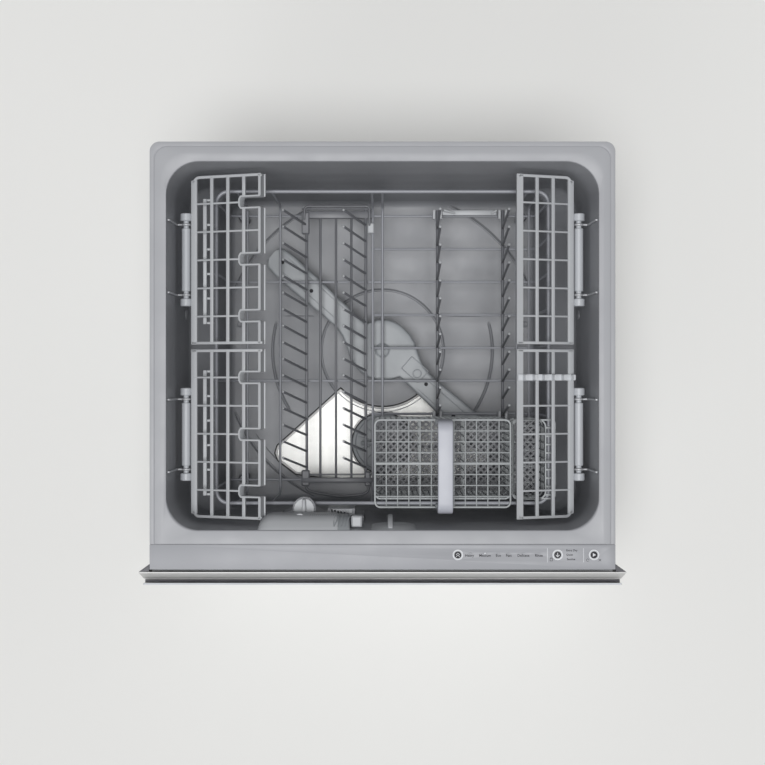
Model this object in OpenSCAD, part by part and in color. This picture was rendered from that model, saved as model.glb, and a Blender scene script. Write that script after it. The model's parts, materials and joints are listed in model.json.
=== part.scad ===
// Dishwasher drawer: a moulded tub with its racks, spray arm, pump and front panel,
// carried on telescopic runners. Sizes are in millimetres, +Z is up and the front faces -Y.
// Most pieces are placed from the centre of the tub's mouth, at the level of its rim.

/* [Drawer] */
// Width of the front panel
panel_w = 599; // [592:0.5:610]
// Height of the rim above the underside of the base pan
rim_z = 395; // [390:1:430]
// Thickness of the stainless front skin
skin_t = 1; // [0.6:0.1:1.5]
// Level of the front skin's top edge below the rim
skin_drop = 30; // [22:1:38]
// Depth of the finger pocket behind the front skin, front to back
pocket_d = 17.6; // [16:0.2:24]
// Gap between the fascia and the lip of the door edge
lip_gap = 3.1; // [2:0.1:5]
// Thickness of the lip of the door edge
lip_t = 1.6; // [1.2:0.1:2.4]

/* [Tub] */
// Inside width of the tub's mouth
mouth_w = 531.4; // [526:0.2:536]
// Inside depth of the tub's mouth, front to back
mouth_d = 452.6; // [450:0.2:462]
// Corner radius of the mouth
mouth_r = 41; // [36:1:42]
// Corner radius of the tub below the shoulder
deep_r = 30; // [24:1:32]
// Width of the tub over its rim
rim_w = 572.2; // [568:0.2:580]
// Width of the rim at the back
rim_back = 24.6; // [20:0.2:32]
// Width of the rim at the front, up to the fascia
rim_front = 17.7; // [14:0.1:24]
// Thickness of the rim
rim_t = 3.5; // [2.5:0.1:5]
// Height of the skirt under the rim's edge
skirt_h = 14; // [8:1:24]
// Wall thickness of the skirt
skirt_t = 2.5; // [1.5:0.1:4]
// Wall thickness of the tub
tub_wall = 3; // [2:0.1:3.6]
// Depth of the tub from the rim to its floor
tub_depth = 290; // [280:1:294]
// How far the side walls lean in above the shoulder
upper_lean = 5; // [2:0.5:6]
// Depth of the shoulder's top edge below the rim
shoulder_depth = 170; // [150:1:180]
// Height of the sloping shoulder
shoulder_h = 25; // [15:1:32]
// Width of the shoulder, which leaves room for the runners
shoulder_w = 38; // [36:0.5:42]
// How far the side walls lean in below the shoulder
lower_lean = 4; // [2:0.5:5]
// How far the front and back walls lean in, from the rim to the floor
end_lean = 13; // [9:0.5:14]
// Distance of the seal groove from the rim's outer edge
groove_in = 5; // [4:0.2:7]
// Width of the seal groove
groove_w = 0.9; // [0.5:0.1:1.6]
// Depth of the seal groove
groove_d = 0.6; // [0.3:0.1:1.2]

/* [Fascia and buttons] */
// Depth of the fascia, front to back
fascia_d = 30.4; // [28:0.2:36]
// Thickness of the fascia
fascia_t = 3; // [2:0.1:4]
// Height of the fascia's skirt
fascia_skirt = 22; // [20:0.5:25]
// Radius of a button
button_r = 5.2; // [4.5:0.1:5.6]
// Width of the light ring around a button
ring_w = 1.2; // [1:0.1:1.6]
// Travel of a button
button_travel = 0.8; // [0.5:0.1:1]
// Distance of the buttons' centres behind the fascia's front edge
button_in = 17.9; // [16:0.1:20]
// Distance of the cycle button from the drawer's middle
cycle_x = 92.6; // [90:0.2:98]
// Distance of the option button from the drawer's middle
option_x = 215.1; // [205:0.2:225]
// Distance of the start button from the drawer's middle
start_x = 259.8; // [250:0.2:262]
// Radius of an indicator light
light_r = 1.25; // [0.8:0.05:1.6]
// Thickness of the control board
board_t = 1.6; // [1:0.2:2.4]
// Depth of the control board's top face below the fascia
board_drop = 14.4; // [14:0.1:17]

/* [Pump and filters] */
// Radius of the spray arm's fixed hub
hub_r = 14; // [12:0.5:16]
// Radius of the water way through the hub
hub_bore_r = 9; // [7:0.5:10]
// Height of the spray arm's underside above the tub's floor
arm_lift = 28; // [24:1:32]
// Thickness of each half of the spray arm
arm_half_t = 10; // [8:0.5:12]
// Wall thickness of the spray arm's lower half
arm_wall = 2.4; // [1.6:0.1:3]
// Reach of the spray arm from its centre
arm_reach = 204; // [190:1:205]
// Radius of the spray arm's centre
arm_hub_r = 43; // [36:1:46]
// Angle of the spray arm as it rests
arm_angle = 138.5; // [0:0.5:180]
// Radius of the drain filter
drain_r = 43; // [36:0.5:46]
// Distance of the drain filter in front of the hub
drain_y = 131.5; // [128:0.5:135]
// Depth of the sump below the tub
sump_h = 45; // [42:1:47]
// Radius of the wash motor
motor_r = 52; // [44:1:58]
// Height of the wash motor
motor_h = 40; // [36:1:44]
// Outer radius of the drain outlet
drain_pipe_r = 10; // [8:0.5:12]
// Outer radius of the water inlet
inlet_pipe_r = 7; // [5:0.5:9]
// Length of the hose spigots
spigot_l = 30; // [24:1:36]
// Step from a pipe to its hose spigot
spigot_step = 1; // [0.6:0.1:1.5]

/* [Base rack] */
// Half the width of the rack's rim wire
rack_x = 212.6; // [208:0.2:214]
// Half the depth of the rack's rim wire
rack_y = 199.3; // [198:0.1:201]
// Depth of the rim wire below the tub's rim
rack_rim_depth = 74; // [74:0.5:80]
// Depth of the rack's cross wires below the tub's rim
rack_floor_depth = 230; // [227:0.5:231]
// Radius of the rim wire
rim_wire_r = 2.4; // [2:0.1:2.6]
// Radius of the other rack wires
wire_r = 1.7; // [1.2:0.1:1.9]
// Corner radius of the rim wire
rack_corner_r = 16; // [12:1:22]
// Distance between cross wires
cross_pitch = 45.75; // [44:0.25:46]

/* [Tine rows] */
// Radius of a tine row's rod
rod_r = 2; // [1.6:0.1:2.2]
// Radius of a tine
tine_r = 1.7; // [1.2:0.1:1.8]
// Distance between tines in the left rows
low_pitch = 22.3; // [18:0.1:23]
// Distance between tines in the right rows
tall_pitch = 23.4; // [20:0.1:23.4]
// Height of the left rows' tines
low_h = 47; // [40:1:50]
// Lean of the left rows' tines towards the side
low_side = 30; // [20:1:34]
// Lean of the left rows' tines towards the back
low_back = 16; // [8:1:18]
// Height of the right rows' tines
tall_h = 105; // [80:1:110]
// Lean of the right rows' tines towards the back
tall_back = 15; // [10:1:18]

/* [Cup racks] */
// Distance of the hinge bars from the drawer's middle
hinge_x = 250; // [249:0.2:251]
// Depth of the hinge bars below the rim
hinge_depth = 66; // [60:1:67]
// Slope of the cup racks at rest
cup_slope = 19.5; // [15:0.5:22]
// Reach of the left cup racks from their hinge
cup_reach_left = 107.5; // [104:0.5:110]
// Reach of the right cup racks from their hinge
cup_reach_right = 87; // [84:0.5:92]
// Length of each cup rack, front to back
cup_len = 214; // [206:1:214]
// Gap between the front and back cup racks
cup_gap = 6; // [4:0.5:8]
// Thickness of a cup rack
cup_t = 4; // [3:0.2:5]
// Width of a stem notch
notch_w = 16; // [12:0.5:18]
// Depth of a stem notch
notch_d = 34; // [28:1:36]
// Radius of a hinge bar
bar_r = 5.75; // [5:0.05:6]
// Radius of the barrels at a hinge bar's ends
barrel_r = 7.5; // [6.5:0.1:7.5]
// Radius of a hinge bar's journals
journal_r = 3.5; // [3:0.1:4]
// Radius of the hook wires
hook_r = 1.5; // [1.2:0.1:1.8]

/* [Baskets] */
// Left side of the cutlery basket, from the drawer's middle
basket_left = -10.8; // [-14:0.2:-8]
// Width of the cutlery basket
basket_w = 175.4; // [165:0.2:176]
// Depth of the cutlery basket, front to back
basket_d = 102.8; // [96:0.2:103.6]
// Height of the cutlery basket
basket_h = 124; // [100:1:130]
// Wall thickness of the baskets
basket_wall = 2; // [1.4:0.1:2.6]
// Width of the side basket
side_w = 43.5; // [36:0.5:43.5]
// Height of the side basket
side_h = 72; // [50:1:90]
// Width of the basket's handle
handle_w = 19; // [14:0.5:24]
// Height of the handle's top above the basket's rim
handle_h = 56; // [40:1:60]
// Thickness of the handle
handle_t = 4; // [3:0.2:6]

/* [Runners] */
// Length of each runner member
runner_l = 500; // [460:5:500]
// Height of a runner
runner_h = 45; // [42:0.5:46]
// Thickness of a whole runner
runner_w = 12.7; // [12:0.1:13.5]
// Metal thickness of the runner members
runner_t = 1.5; // [1.2:0.1:1.6]
// Running gap between the runner members
runner_gap = 0.5; // [0.3:0.1:0.6]
// Distance of the runners' outer faces from the drawer's middle
runner_x = 286; // [285:0.5:290]
// Depth of the runners' centre line below the rim
runner_depth = 262; // [255:1:264]
// Distance between the screw holes in a fixed runner
runner_hole_pitch = 416; // [352:32:416]
// Radius of the screw holes in a fixed runner
runner_hole_r = 2.3; // [2:0.1:2.6]
// Thickness of the base pan's sheet
pan_t = 1.2; // [0.8:0.1:1.4]
// Width of the base pan
pan_w = 457; // [456:0.5:460]

/* [Hidden] */
$fn = 48;

// Clearances
seat = 0.05;        // between pieces that lie on each other
rest = 0.3;         // between a piece and the seat that it stands on
run = 0.06;         // all round a shaft in its bore
swing = 0.4;        // all round a piece that turns by hand
eps = 0.02;         // thickness of the slices that a hull joins
cut = 1;            // how far a cutter passes its work

// Door and fascia, as distances in front of the mouth's centre
mouth_x = mouth_w / 2;
mouth_y = mouth_d / 2;
seam_y = mouth_y + rim_front;
fascia_back = seam_y + rest;
fascia_front = fascia_back + fascia_d;
lip_back = fascia_front + lip_gap;
lip_front = lip_back + lip_t;
front_y = lip_front + pocket_d + skin_t;
rim_back_y = mouth_y + rim_back;
centre_y = (front_y - rim_back_y) / 2;
button_y = -(fascia_front - button_in);
frame_y = fascia_front - 6.7;
frame_t = 1.5;
pocket_floor = skin_drop + 16;
panel_bottom = rim_z - 3;

// Tub
hub_neck_r = 20;
hub_neck_drop = 16;
sump_mouth_w = 180;
sump_mouth_l = 46;
sump_mouth_front = 20;
floor_z = -tub_depth;
under_z = floor_z - tub_wall;
shoulder_bottom = shoulder_depth + shoulder_h;
level_depth = [0, shoulder_depth, shoulder_bottom, tub_depth];
level_x = [mouth_x, mouth_x - upper_lean, mouth_x - upper_lean - shoulder_w,
    mouth_x - upper_lean - shoulder_w - lower_lean];
level_r = [mouth_r, deep_r + 2, deep_r, deep_r];
function wall_y(depth) = mouth_y - end_lean * depth / tub_depth;
function wall_x(depth) = mouth_x - upper_lean * depth / shoulder_depth;

// Base and pump
pan_top = -rim_z + pan_t;
sump_top = under_z - rest;
sump_wall = 3;
sump_bottom = sump_top - sump_h;
sump_floor = sump_bottom + sump_wall;
sump_half_w = 102;
sump_front = drain_y + drain_r + 8;
sump_r = 62;
shaft_r = 4;
impeller_r = 28;
impeller_top = sump_floor + 20;
motor_top = sump_bottom - rest;
rotor_r = 24;
rotor_gap = 1;
pipe_z = sump_top - sump_h / 2;
pipe_back = wall_y(tub_depth) + 22;
plate_t = 1.2;
plate_z = floor_z + seat;
plate_inner_r = 80;

// Racks
rack_rim_z = -rack_rim_depth;
cross_z = -rack_floor_depth;
long_z = cross_z + 2 * wire_r + seat;
frame_z = long_z + wire_r + rest;
bar_h = 10.5;
rod_z = frame_z + bar_h / 2;
cross_first = 4 * cross_pitch + 3;
cross_y = [for (i = [0:8]) cross_first - i * cross_pitch];
wide_wires = [0, 2, 5, 8];
cross_left = -15;
long_x = [-187, -141.7, -13.5, 0, 186, 203];
left_rods = [-104.6, -23];
right_rods = [75.7, 165.9];
left_bars_y = [193.5, -180];
right_bar_y = 188;
right_clip_y = -98;
bar_d = 6;
clip_w = 12;

// Cup racks
hinge_z = -hinge_depth;
rail_u = barrel_r + seat;
rail_w = 7;
rim_u = 8;
end_w = 3.5;
corner_cut = 12;
bar_w = 4.4;
bar_us = [36, 57.2, 78.6];
cup_wire_r = 1.5;
bar_v0 = 49;
bar_v1 = 167;
barrel_l = 9.6;
journal_l = 9.4;

// Baskets
rim_over_wire = rack_rim_z + rim_wire_r + rest;
flange_t = 3;
basket_rim_z = rim_over_wire + flange_t;
basket_front = rack_y - rim_wire_r - rest * 8;
basket_back = basket_front - basket_d;
flange_front = rack_y + rim_wire_r + rest + 3.6;
lid_bar = 1.6;
side_left = basket_left + basket_w + rest * 4;
side_corner_r = 10;
side_flange = 6.6;
side_flange_t = 2;

// Runners
runner_z = -runner_depth;
middle_h = runner_h - 2 * (runner_t + runner_gap);
inner_h = middle_h - 2 * (runner_t + runner_gap);
middle_x = runner_x - runner_t - runner_gap;
inner_x = middle_x - runner_t - runner_gap;
runner_in = runner_x - runner_w;
shelf_z = runner_z - 4;

// ---- helpers ----

// Everything measured from the mouth's centre at rim level is drawn inside this
module at_rim() translate([0, centre_y, rim_z]) children();

// A box from one corner to the opposite one
module span(lo, hi) translate(lo) cube(hi - lo);

// A rounded rectangle, centred
module rounded(w, d, r) {
    square([w - 2 * r, d], center = true);
    square([w, d - 2 * r], center = true);
    for (x = [-1, 1], y = [-1, 1])
        translate([x * (w / 2 - r), y * (d / 2 - r)]) circle(r);
}

// A straight wire from one point to another
module wire(p, q, r) {
    d = q - p;
    translate(p) rotate([0, acos(d[2] / norm(d)), atan2(d[1], d[0])]) cylinder(h = norm(d), r = r);
}

// A tube standing on z = 0
module tube(outer, inner, h) difference() {
    cylinder(h = h, r = outer);
    translate([0, 0, -cut]) cylinder(h = h + 2 * cut, r = inner);
}

module both_sides() {
    children();
    mirror([1, 0, 0]) children();
}

// ---- tub ----

// One level of the basin, grown by the wall's thickness
module basin_level(i, grow, drop) translate([0, 0, -level_depth[i] - drop])
    linear_extrude(eps)
        rounded(2 * (level_x[i] + grow), 2 * (wall_y(level_depth[i]) + grow), level_r[i] + grow);

// The basin's solid shape, in three drafted stages
module basin(grow) {
    for (i = [0:2]) hull() {
        basin_level(i, grow, i == 0 ? -eps : grow);
        basin_level(i + 1, grow, grow);
    }
}

module rim_outline(inset) {
    back = rim_back_y - inset;
    front = -seam_y + inset;
    w = rim_w - 2 * inset;
    translate([0, (back + front) / 2]) rounded(w, back - front, max(12 - inset, 2));
    translate([-w / 2, front]) square([w, mouth_r]);
}

module rim() difference() {
    translate([0, 0, -skirt_h]) linear_extrude(skirt_h) rim_outline(0);
    translate([0, 0, -skirt_h - rim_t]) linear_extrude(skirt_h) rim_outline(skirt_t);
    translate([0, 0, -groove_d]) linear_extrude(cut) difference() {
        rim_outline(groove_in);
        rim_outline(groove_in + groove_w);
    }
}

seat_face = mouth_y - 9.3;
disp_x = [-155, -24];
disp_top = -54;
disp_bottom = -140;

// Low curved ribs on the floor, either side of the arm
flow_rib_r = 156;
flow_rib_w = 2.4;
flow_rib_h = 3;
flow_rib_arc = 49;
flow_rib_starts = [164.5, -33.5];
module flow_ribs() for (a = flow_rib_starts) rotate([0, 0, a]) rotate_extrude(angle = flow_rib_arc)
    translate([flow_rib_r, floor_z - eps]) square([flow_rib_w, flow_rib_h]);

module tub() color([0.62, 0.63, 0.65]) at_rim() {
    difference() {
        union() {
            rim();
            basin(tub_wall);
        }
        basin(0);
        translate([0, 0, under_z - cut]) {
            cylinder(h = tub_wall + 2 * cut, r = hub_neck_r + rest);
            translate([0, -drain_y, 0]) cylinder(h = tub_wall + 2 * cut, r = drain_r + 1);
            translate([-sump_mouth_w / 2, -drain_y - sump_mouth_front, 0])
                cube([sump_mouth_w, sump_mouth_l, tub_wall + 2 * cut]);
        }
        span([disp_x[0] + 6, -mouth_y - cut, disp_bottom + 6],
            [disp_x[1] - 6, -seat_face + cut, disp_top - 6]);
    }
    flow_ribs();
    difference() {
        span([disp_x[0], -wall_y(-disp_bottom) - tub_wall, disp_bottom],
            [disp_x[1], -seat_face, disp_top]);
        span([disp_x[0] + 6, -mouth_y - cut, disp_bottom + 6],
            [disp_x[1] - 6, -seat_face + cut, disp_top - 6]);
    }
}

// ---- fascia and buttons ----

light_x = [108.1, 125.9, 142.4, 155.3, 173.1, 192.2];
light_y = button_y + 1.7;
board_x = [cycle_x - 14, start_x + 12];
board_y = [-fascia_front + 4, -fascia_back - 4];
button_xs = [cycle_x, option_x, start_x];
ring_outer = button_r + rest / 4 + ring_w;

module fascia() color([0.67, 0.68, 0.7]) at_rim() {
    difference() {
        span([-rim_w / 2, -fascia_front, -fascia_skirt], [rim_w / 2, -fascia_back, 0]);
        span([-rim_w / 2 + 2, -fascia_front + 2, -fascia_skirt - cut],
            [rim_w / 2 - 2, -fascia_back + cut, -fascia_t]);
        for (x = button_xs) translate([x, button_y, -fascia_t - cut])
            cylinder(h = fascia_t + 2 * cut, r = ring_outer + seat);
        for (x = light_x) translate([x, light_y, -fascia_t - cut])
            cylinder(h = fascia_t + 2 * cut, r = light_r + seat);
    }
    for (x = board_x, y = board_y) translate([x + (x < option_x ? 4 : -4), y, -board_drop + seat])
        cylinder(h = board_drop - fascia_t - seat + eps, r = 2.5);
}

module control_board() color([0.1, 0.35, 0.2]) at_rim()
    span([board_x[0], board_y[0] - 1.5, -board_drop - board_t],
        [board_x[1], board_y[1] + 1.5, -board_drop]);

module button_rings() color([0.85, 0.87, 0.9]) at_rim()
    for (x = button_xs) translate([x, button_y, -fascia_t])
        tube(ring_outer, button_r + rest / 4, fascia_t + 0.1);

module indicator_lights() color([0.95, 0.97, 1]) at_rim()
    for (x = light_x) translate([x, light_y, -board_drop + seat])
        cylinder(h = board_drop, r = light_r);

// A dark disc on a stem that reaches down to its switch on the board
module push_button(x) color([0.15, 0.15, 0.17]) at_rim() translate([x, button_y, 0]) {
    translate([0, 0, -fascia_t]) cylinder(h = fascia_t + rest, r = button_r);
    translate([0, 0, -board_drop + button_travel + rest])
        cylinder(h = board_drop - fascia_t - button_travel, r = 2);
}
module cycle_button() push_button(cycle_x);
module option_button() push_button(option_x);
module start_button() push_button(start_x);

// ---- door ----

// Lip and sloping pocket wall, bent from one strip, that stands on the pocket's floor
module door_edge_trim() color([0.72, 0.73, 0.74]) at_rim()
    translate([-panel_w / 2, 0, 0]) rotate([90, 0, 90]) linear_extrude(panel_w) {
        polygon([[-lip_back, 0], [-lip_front, 0], [-lip_front - 0.8, -4],
            [-lip_front - pocket_d * 0.67, -pocket_floor + 8],
            [-lip_front - pocket_d * 0.7, -pocket_floor + seat],
            [-lip_front - pocket_d * 0.6, -pocket_floor + seat],
            [-lip_front - pocket_d * 0.57, -pocket_floor + 8], [-lip_back - 0.6, -4]]);
        translate([-front_y + skin_t + seat, -pocket_floor - lip_t])
            square([pocket_d * 0.4 - seat, lip_t]);
    }

module door_end_caps() color([0.3, 0.31, 0.33]) at_rim() both_sides()
    translate([0, 0, -6]) linear_extrude(6) polygon([[rim_w / 2 + rest, -lip_back + 9.5],
        [rim_w / 2 + rest, -lip_back + seat], [panel_w / 2, -lip_back + seat]]);

// A skin with its sides and bottom folded back under the lip
panel_back = lip_back + rest;
module front_panel() color([0.75, 0.75, 0.76]) at_rim() difference() {
    span([-panel_w / 2, -front_y, -panel_bottom], [panel_w / 2, -panel_back, -skin_drop]);
    span([-panel_w / 2 + skin_t, -front_y + skin_t, -panel_bottom + skin_t],
        [panel_w / 2 - skin_t, -panel_back + cut, -skin_drop + cut]);
    span([-panel_w / 2 - cut, -front_y + skin_t, -pocket_floor - lip_t - seat],
        [panel_w / 2 + cut, -panel_back + cut, cut]);
}

// A felt pad between the front skin and the frame, as wide as the frame
pad_side_in = 13.4;
module panel_insulation() color([0.35, 0.33, 0.3]) at_rim()
    span([-panel_w / 2 + pad_side_in, -front_y + skin_t + seat, -panel_bottom + skin_t + rest],
        [panel_w / 2 - pad_side_in, -frame_y - frame_t - seat, -pocket_floor - lip_t - rest]);

module panel_frame() color([0.55, 0.56, 0.58]) at_rim() {
    span([-rim_w / 2, -frame_y - frame_t, -panel_bottom + skin_t + rest],
        [rim_w / 2, -frame_y, -fascia_skirt - rest]);
    span([-rim_w / 2, -lip_back - 5.4, -fascia_skirt - rest - frame_t],
        [rim_w / 2, -frame_y - frame_t + eps, -fascia_skirt - rest]);
    both_sides() span([rim_w / 2 - frame_t, -frame_y - eps, -panel_bottom + skin_t + rest],
        [rim_w / 2, -frame_y + 14, -fascia_skirt - rest]);
}

// ---- base and pump ----

module base_pan() color([0.5, 0.51, 0.52]) at_rim() difference() {
    back = wall_y(tub_depth) + 19;
    span([-pan_w / 2, -frame_y + seat, -rim_z], [pan_w / 2, back, runner_z + 12]);
    span([-pan_w / 2 + pan_t, -frame_y + seat + pan_t, pan_top],
        [pan_w / 2 - pan_t, back - pan_t, runner_z + 12 + cut]);
    span([-pan_w / 2 + pan_t, -frame_y - cut, pan_top + 28],
        [pan_w / 2 - pan_t, back + cut, runner_z + 12 + cut]);
}

// Rubber blocks between the base pan and the tub's floor
support_r = 15;
support_x = pan_w / 2 - 43.5;
support_y = 160;
module tub_supports() color([0.2, 0.2, 0.21]) at_rim()
    for (x = [-support_x, support_x], y = [-support_y, support_y]) translate([x, y, pan_top + seat])
        cylinder(h = under_z - pan_top - 2 * seat, r = support_r);

// The sump's outline, drawn in by its wall for the inside
sump_step = 50;
module sump_outline(inset) {
    circle(sump_r - inset);
    translate([-sump_half_w + inset, -sump_front + inset])
        square([2 * (sump_half_w - inset), sump_front - sump_step - 2 * inset]);
}

module sump() color([0.3, 0.31, 0.33]) at_rim() difference() {
    translate([0, 0, sump_bottom]) linear_extrude(sump_h) sump_outline(0);
    translate([0, 0, sump_floor]) linear_extrude(sump_h) sump_outline(sump_wall);
    translate([0, 0, sump_bottom - cut]) cylinder(h = sump_wall + 2 * cut, r = shaft_r + run);
}

module heater_element() color([0.6, 0.58, 0.55]) at_rim()
    translate([0, 0, sump_floor + rest + 3.5]) rotate_extrude() translate([46, 0]) circle(3.5);

module wash_motor() color([0.25, 0.25, 0.27]) at_rim() translate([0, 0, motor_top - motor_h])
    difference() {
        cylinder(h = motor_h, r = motor_r);
        translate([0, 0, 6]) cylinder(h = motor_h - 12, r = rotor_r + rotor_gap);
        translate([0, 0, -cut]) cylinder(h = motor_h + 2 * cut, r = shaft_r + run);
    }

module pump_rotor() color([0.45, 0.42, 0.4]) at_rim() {
    translate([0, 0, motor_top - motor_h]) cylinder(h = impeller_top - motor_top + motor_h, r = shaft_r);
    translate([0, 0, motor_top - motor_h + 7]) cylinder(h = motor_h - 14, r = rotor_r);
}

module impeller() color([0.75, 0.75, 0.72]) at_rim() translate([0, 0, sump_floor + 2])
    difference() {
        union() {
            cylinder(h = 3, r = impeller_r);
            cylinder(h = impeller_top - sump_floor - 2, r = 8);
            for (a = [0:60:300]) rotate([0, 0, a]) translate([6, -1, 0])
                cube([impeller_r - 7, 2, impeller_top - sump_floor - 4]);
        }
        translate([0, 0, -cut]) cylinder(h = impeller_top - sump_floor + cut, r = shaft_r + seat / 2);
    }

// A pipe along +Y whose end is turned down for a hose
module rear_pipe(length, r) rotate([-90, 0, 0]) {
    cylinder(h = length - spigot_l, r = r);
    cylinder(h = length, r = r - spigot_step);
}

pipe_wall = 1.6;
drain_pump_x = 140;
drain_pump_y = -drain_y;
module drain_pump() color([0.22, 0.22, 0.24]) at_rim() difference() {
    union() {
        translate([sump_half_w + seat, drain_pump_y, pipe_z]) rotate([0, 90, 0]) cylinder(h = 66, r = 19);
        translate([drain_pump_x, drain_pump_y, pipe_z]) rear_pipe(pipe_back - drain_pump_y, drain_pipe_r);
    }
    translate([drain_pump_x, drain_pump_y + 10, pipe_z]) rotate([-90, 0, 0])
        cylinder(h = pipe_back - drain_pump_y, r = drain_pipe_r - spigot_step - pipe_wall);
}

inlet_x = -120;
module inlet_pipe() color([0.3, 0.32, 0.35]) at_rim() {
    difference() {
        translate([inlet_x, -drain_y, pipe_z]) rear_pipe(pipe_back + drain_y, inlet_pipe_r);
        translate([inlet_x, -drain_y + 10, pipe_z]) rotate([-90, 0, 0])
            cylinder(h = pipe_back + drain_y, r = inlet_pipe_r - spigot_step - pipe_wall);
    }
    translate([inlet_x, -drain_y, pipe_z]) sphere(r = inlet_pipe_r);
    translate([inlet_x, -drain_y, pipe_z]) rotate([0, 90, 0])
        cylinder(h = -inlet_x - sump_half_w - seat, r = inlet_pipe_r);
}

// Fan-shaped strainer with a concave edge around the hub
plate_side = [[64, -58], [150, -136], [153, -146], [149, -156], [124, -175], [60, -184]];
plate_points = concat(plate_side,
    [for (i = [len(plate_side) - 1:-1:0]) [-plate_side[i][0], plate_side[i][1]]]);

module filter_plate() color([0.85, 0.85, 0.83]) at_rim() translate([0, 0, plate_z])
    linear_extrude(plate_t) difference() {
        polygon(plate_points);
        circle(plate_inner_r);
        translate([0, -drain_y]) circle(drain_r + swing);
    }

module drain_filter() color([0.4, 0.41, 0.43]) at_rim() translate([0, -drain_y, 0]) {
    translate([0, 0, floor_z - 2]) cylinder(h = 6, r = drain_r);
    translate([0, 0, sump_floor + rest]) tube(drain_r - 5, drain_r - 7.5, floor_z - 2 - sump_floor);
    translate([-drain_r + 12, -3, floor_z + 4 - eps]) cube([2 * drain_r - 24, 6, 7]);
}

// ---- spray arm ----

arm_z = floor_z + arm_lift;
hub_flange_r = 38;
hub_flange_t = 3;
module spray_hub() color([0.5, 0.52, 0.54]) at_rim() difference() {
    union() {
        translate([0, 0, plate_z]) cylinder(h = hub_flange_t, r = hub_flange_r);
        translate([0, 0, floor_z - hub_neck_drop]) cylinder(h = hub_neck_drop + 1, r = hub_neck_r);
        translate([0, 0, plate_z]) cylinder(h = arm_lift + arm_half_t - rest, r = hub_r);
        translate([0, 0, plate_z]) cylinder(h = arm_lift - rest, r = hub_r + 6);
    }
    translate([0, 0, floor_z - 20]) cylinder(h = arm_lift + arm_half_t + 40, r = hub_bore_r);
}

// One arm's outline along +X, wider at its outer end, drawn in by its wall for the inside
module arm_outline(inset) {
    tip = arm_reach - inset;
    low = [[0, -12], [60, -12.8], [90, -14], [132, -15.7]];
    high = [[125, 20.8], [72, 19], [48, 25], [20, 40], [0, arm_hub_r - 1]];
    polygon(concat([for (q = low) q + [0, inset]],
        [[tip - 4, inset - 17], [tip, 10], [tip - 6, 21.5 - inset]],
        [for (q = high) q - [0, inset]]));
}

module spray_outline(inset) {
    circle(arm_hub_r - inset);
    for (a = [0, 180]) rotate(a + arm_angle) arm_outline(inset);
}

// A trough round a bearing ring; water comes up over the ring
module spray_arm_lower() color([0.58, 0.6, 0.62]) at_rim() translate([0, 0, arm_z])
    difference() {
        linear_extrude(arm_half_t) spray_outline(0);
        difference() {
            translate([0, 0, arm_wall]) linear_extrude(arm_half_t) spray_outline(arm_wall);
            cylinder(h = arm_half_t - arm_wall, r = hub_r + arm_wall);
        }
        translate([0, 0, -cut]) cylinder(h = arm_half_t + 2 * cut, r = hub_r + run);
    }

module spray_arm_upper() color([0.6, 0.62, 0.64]) at_rim()
    translate([0, 0, arm_z + arm_half_t + seat]) {
        linear_extrude(arm_half_t) spray_outline(0);
        translate([0, 0, arm_half_t - eps]) cylinder(h = 3, r = 9);
    }

// ---- detergent and rinse aid ----

cap_x = -99;
cap_y = -204.5;
cap_r = 13.3;
neck_r = 14.5;
neck_top = disp_top + 2;
bulge_r = 50;
lid_x = [-66, -38];
lid_w = 9;
lid_t = 2.5;
pin_r = 1.5;
module dispenser_housing() color([0.5, 0.51, 0.53]) at_rim() difference() {
    union() {
        span([disp_x[0] + 7, -mouth_y - 18, disp_bottom + 7],
            [disp_x[1] - 7, -seat_face + 1, disp_top - 7]);
        span([disp_x[0], -seat_face + seat, disp_bottom], [disp_x[1], -seat_face + 2.5, disp_top - 1]);
        intersection() {
            union() {
                translate([cap_x - 4, -seat_face - 39, disp_bottom + 10])
                    cylinder(h = disp_top - disp_bottom - 11, r = bulge_r);
                translate([cap_x, cap_y, disp_top - 10]) cylinder(h = neck_top - disp_top + 10, r = neck_r);
            }
            span([disp_x[0], -seat_face + seat, disp_bottom], [disp_x[1], cap_y + neck_r + cut, 0]);
        }
        span([lid_x[0] - 3, -seat_face + 1, disp_bottom + 20],
            [lid_x[1] + 3, -seat_face + lid_w + 3, disp_top - 4]);
    }
    span([lid_x[0], -seat_face + 3.5, disp_bottom + 24],
        [lid_x[1], -seat_face + lid_w + 1.5, disp_top + cut]);
    span([lid_x[0] - 4, -seat_face + 2.5 + seat, disp_top - 4 - eps],
        [lid_x[1] + 4, -seat_face + lid_w + 30, disp_top + 8]);
    translate([cap_x, cap_y, disp_top - 8]) cylinder(h = 40, r = cap_r - 4);
}

// Ribbed cover that lifts on a pin along its front edge
module detergent_lid() color([0.55, 0.56, 0.58]) at_rim() {
    span([lid_x[0], -seat_face + 2.5 + rest + pin_r, disp_top - 4 + rest],
        [lid_x[1], -seat_face + lid_w + 3, disp_top - 4 + rest + lid_t]);
    translate([lid_x[0], -seat_face + 2.5 + rest + pin_r, disp_top - 4 + rest + pin_r])
        rotate([0, 90, 0]) cylinder(h = lid_x[1] - lid_x[0], r = pin_r);
    for (x = [lid_x[0] + 3:4:lid_x[1] - 3])
        span([x, -seat_face + 2.5 + rest + 2 * pin_r - eps, disp_top - 4 + rest + lid_t - eps],
            [x + 1.6, -seat_face + lid_w + 3, disp_top - 4 + rest + lid_t + 1]);
}

module rinse_aid_cap() color([0.7, 0.71, 0.73]) at_rim() translate([cap_x, cap_y, 0]) {
    translate([0, 0, neck_top + seat]) cylinder(h = 4, r = cap_r);
    translate([0, 0, neck_top - 6]) cylinder(h = 7, r = cap_r - 4 - run);
    translate([-1.8, -cap_r + 1, neck_top + 4]) cube([3.6, 2 * cap_r - 2, 6]);
}

// ---- base rack ----

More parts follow.
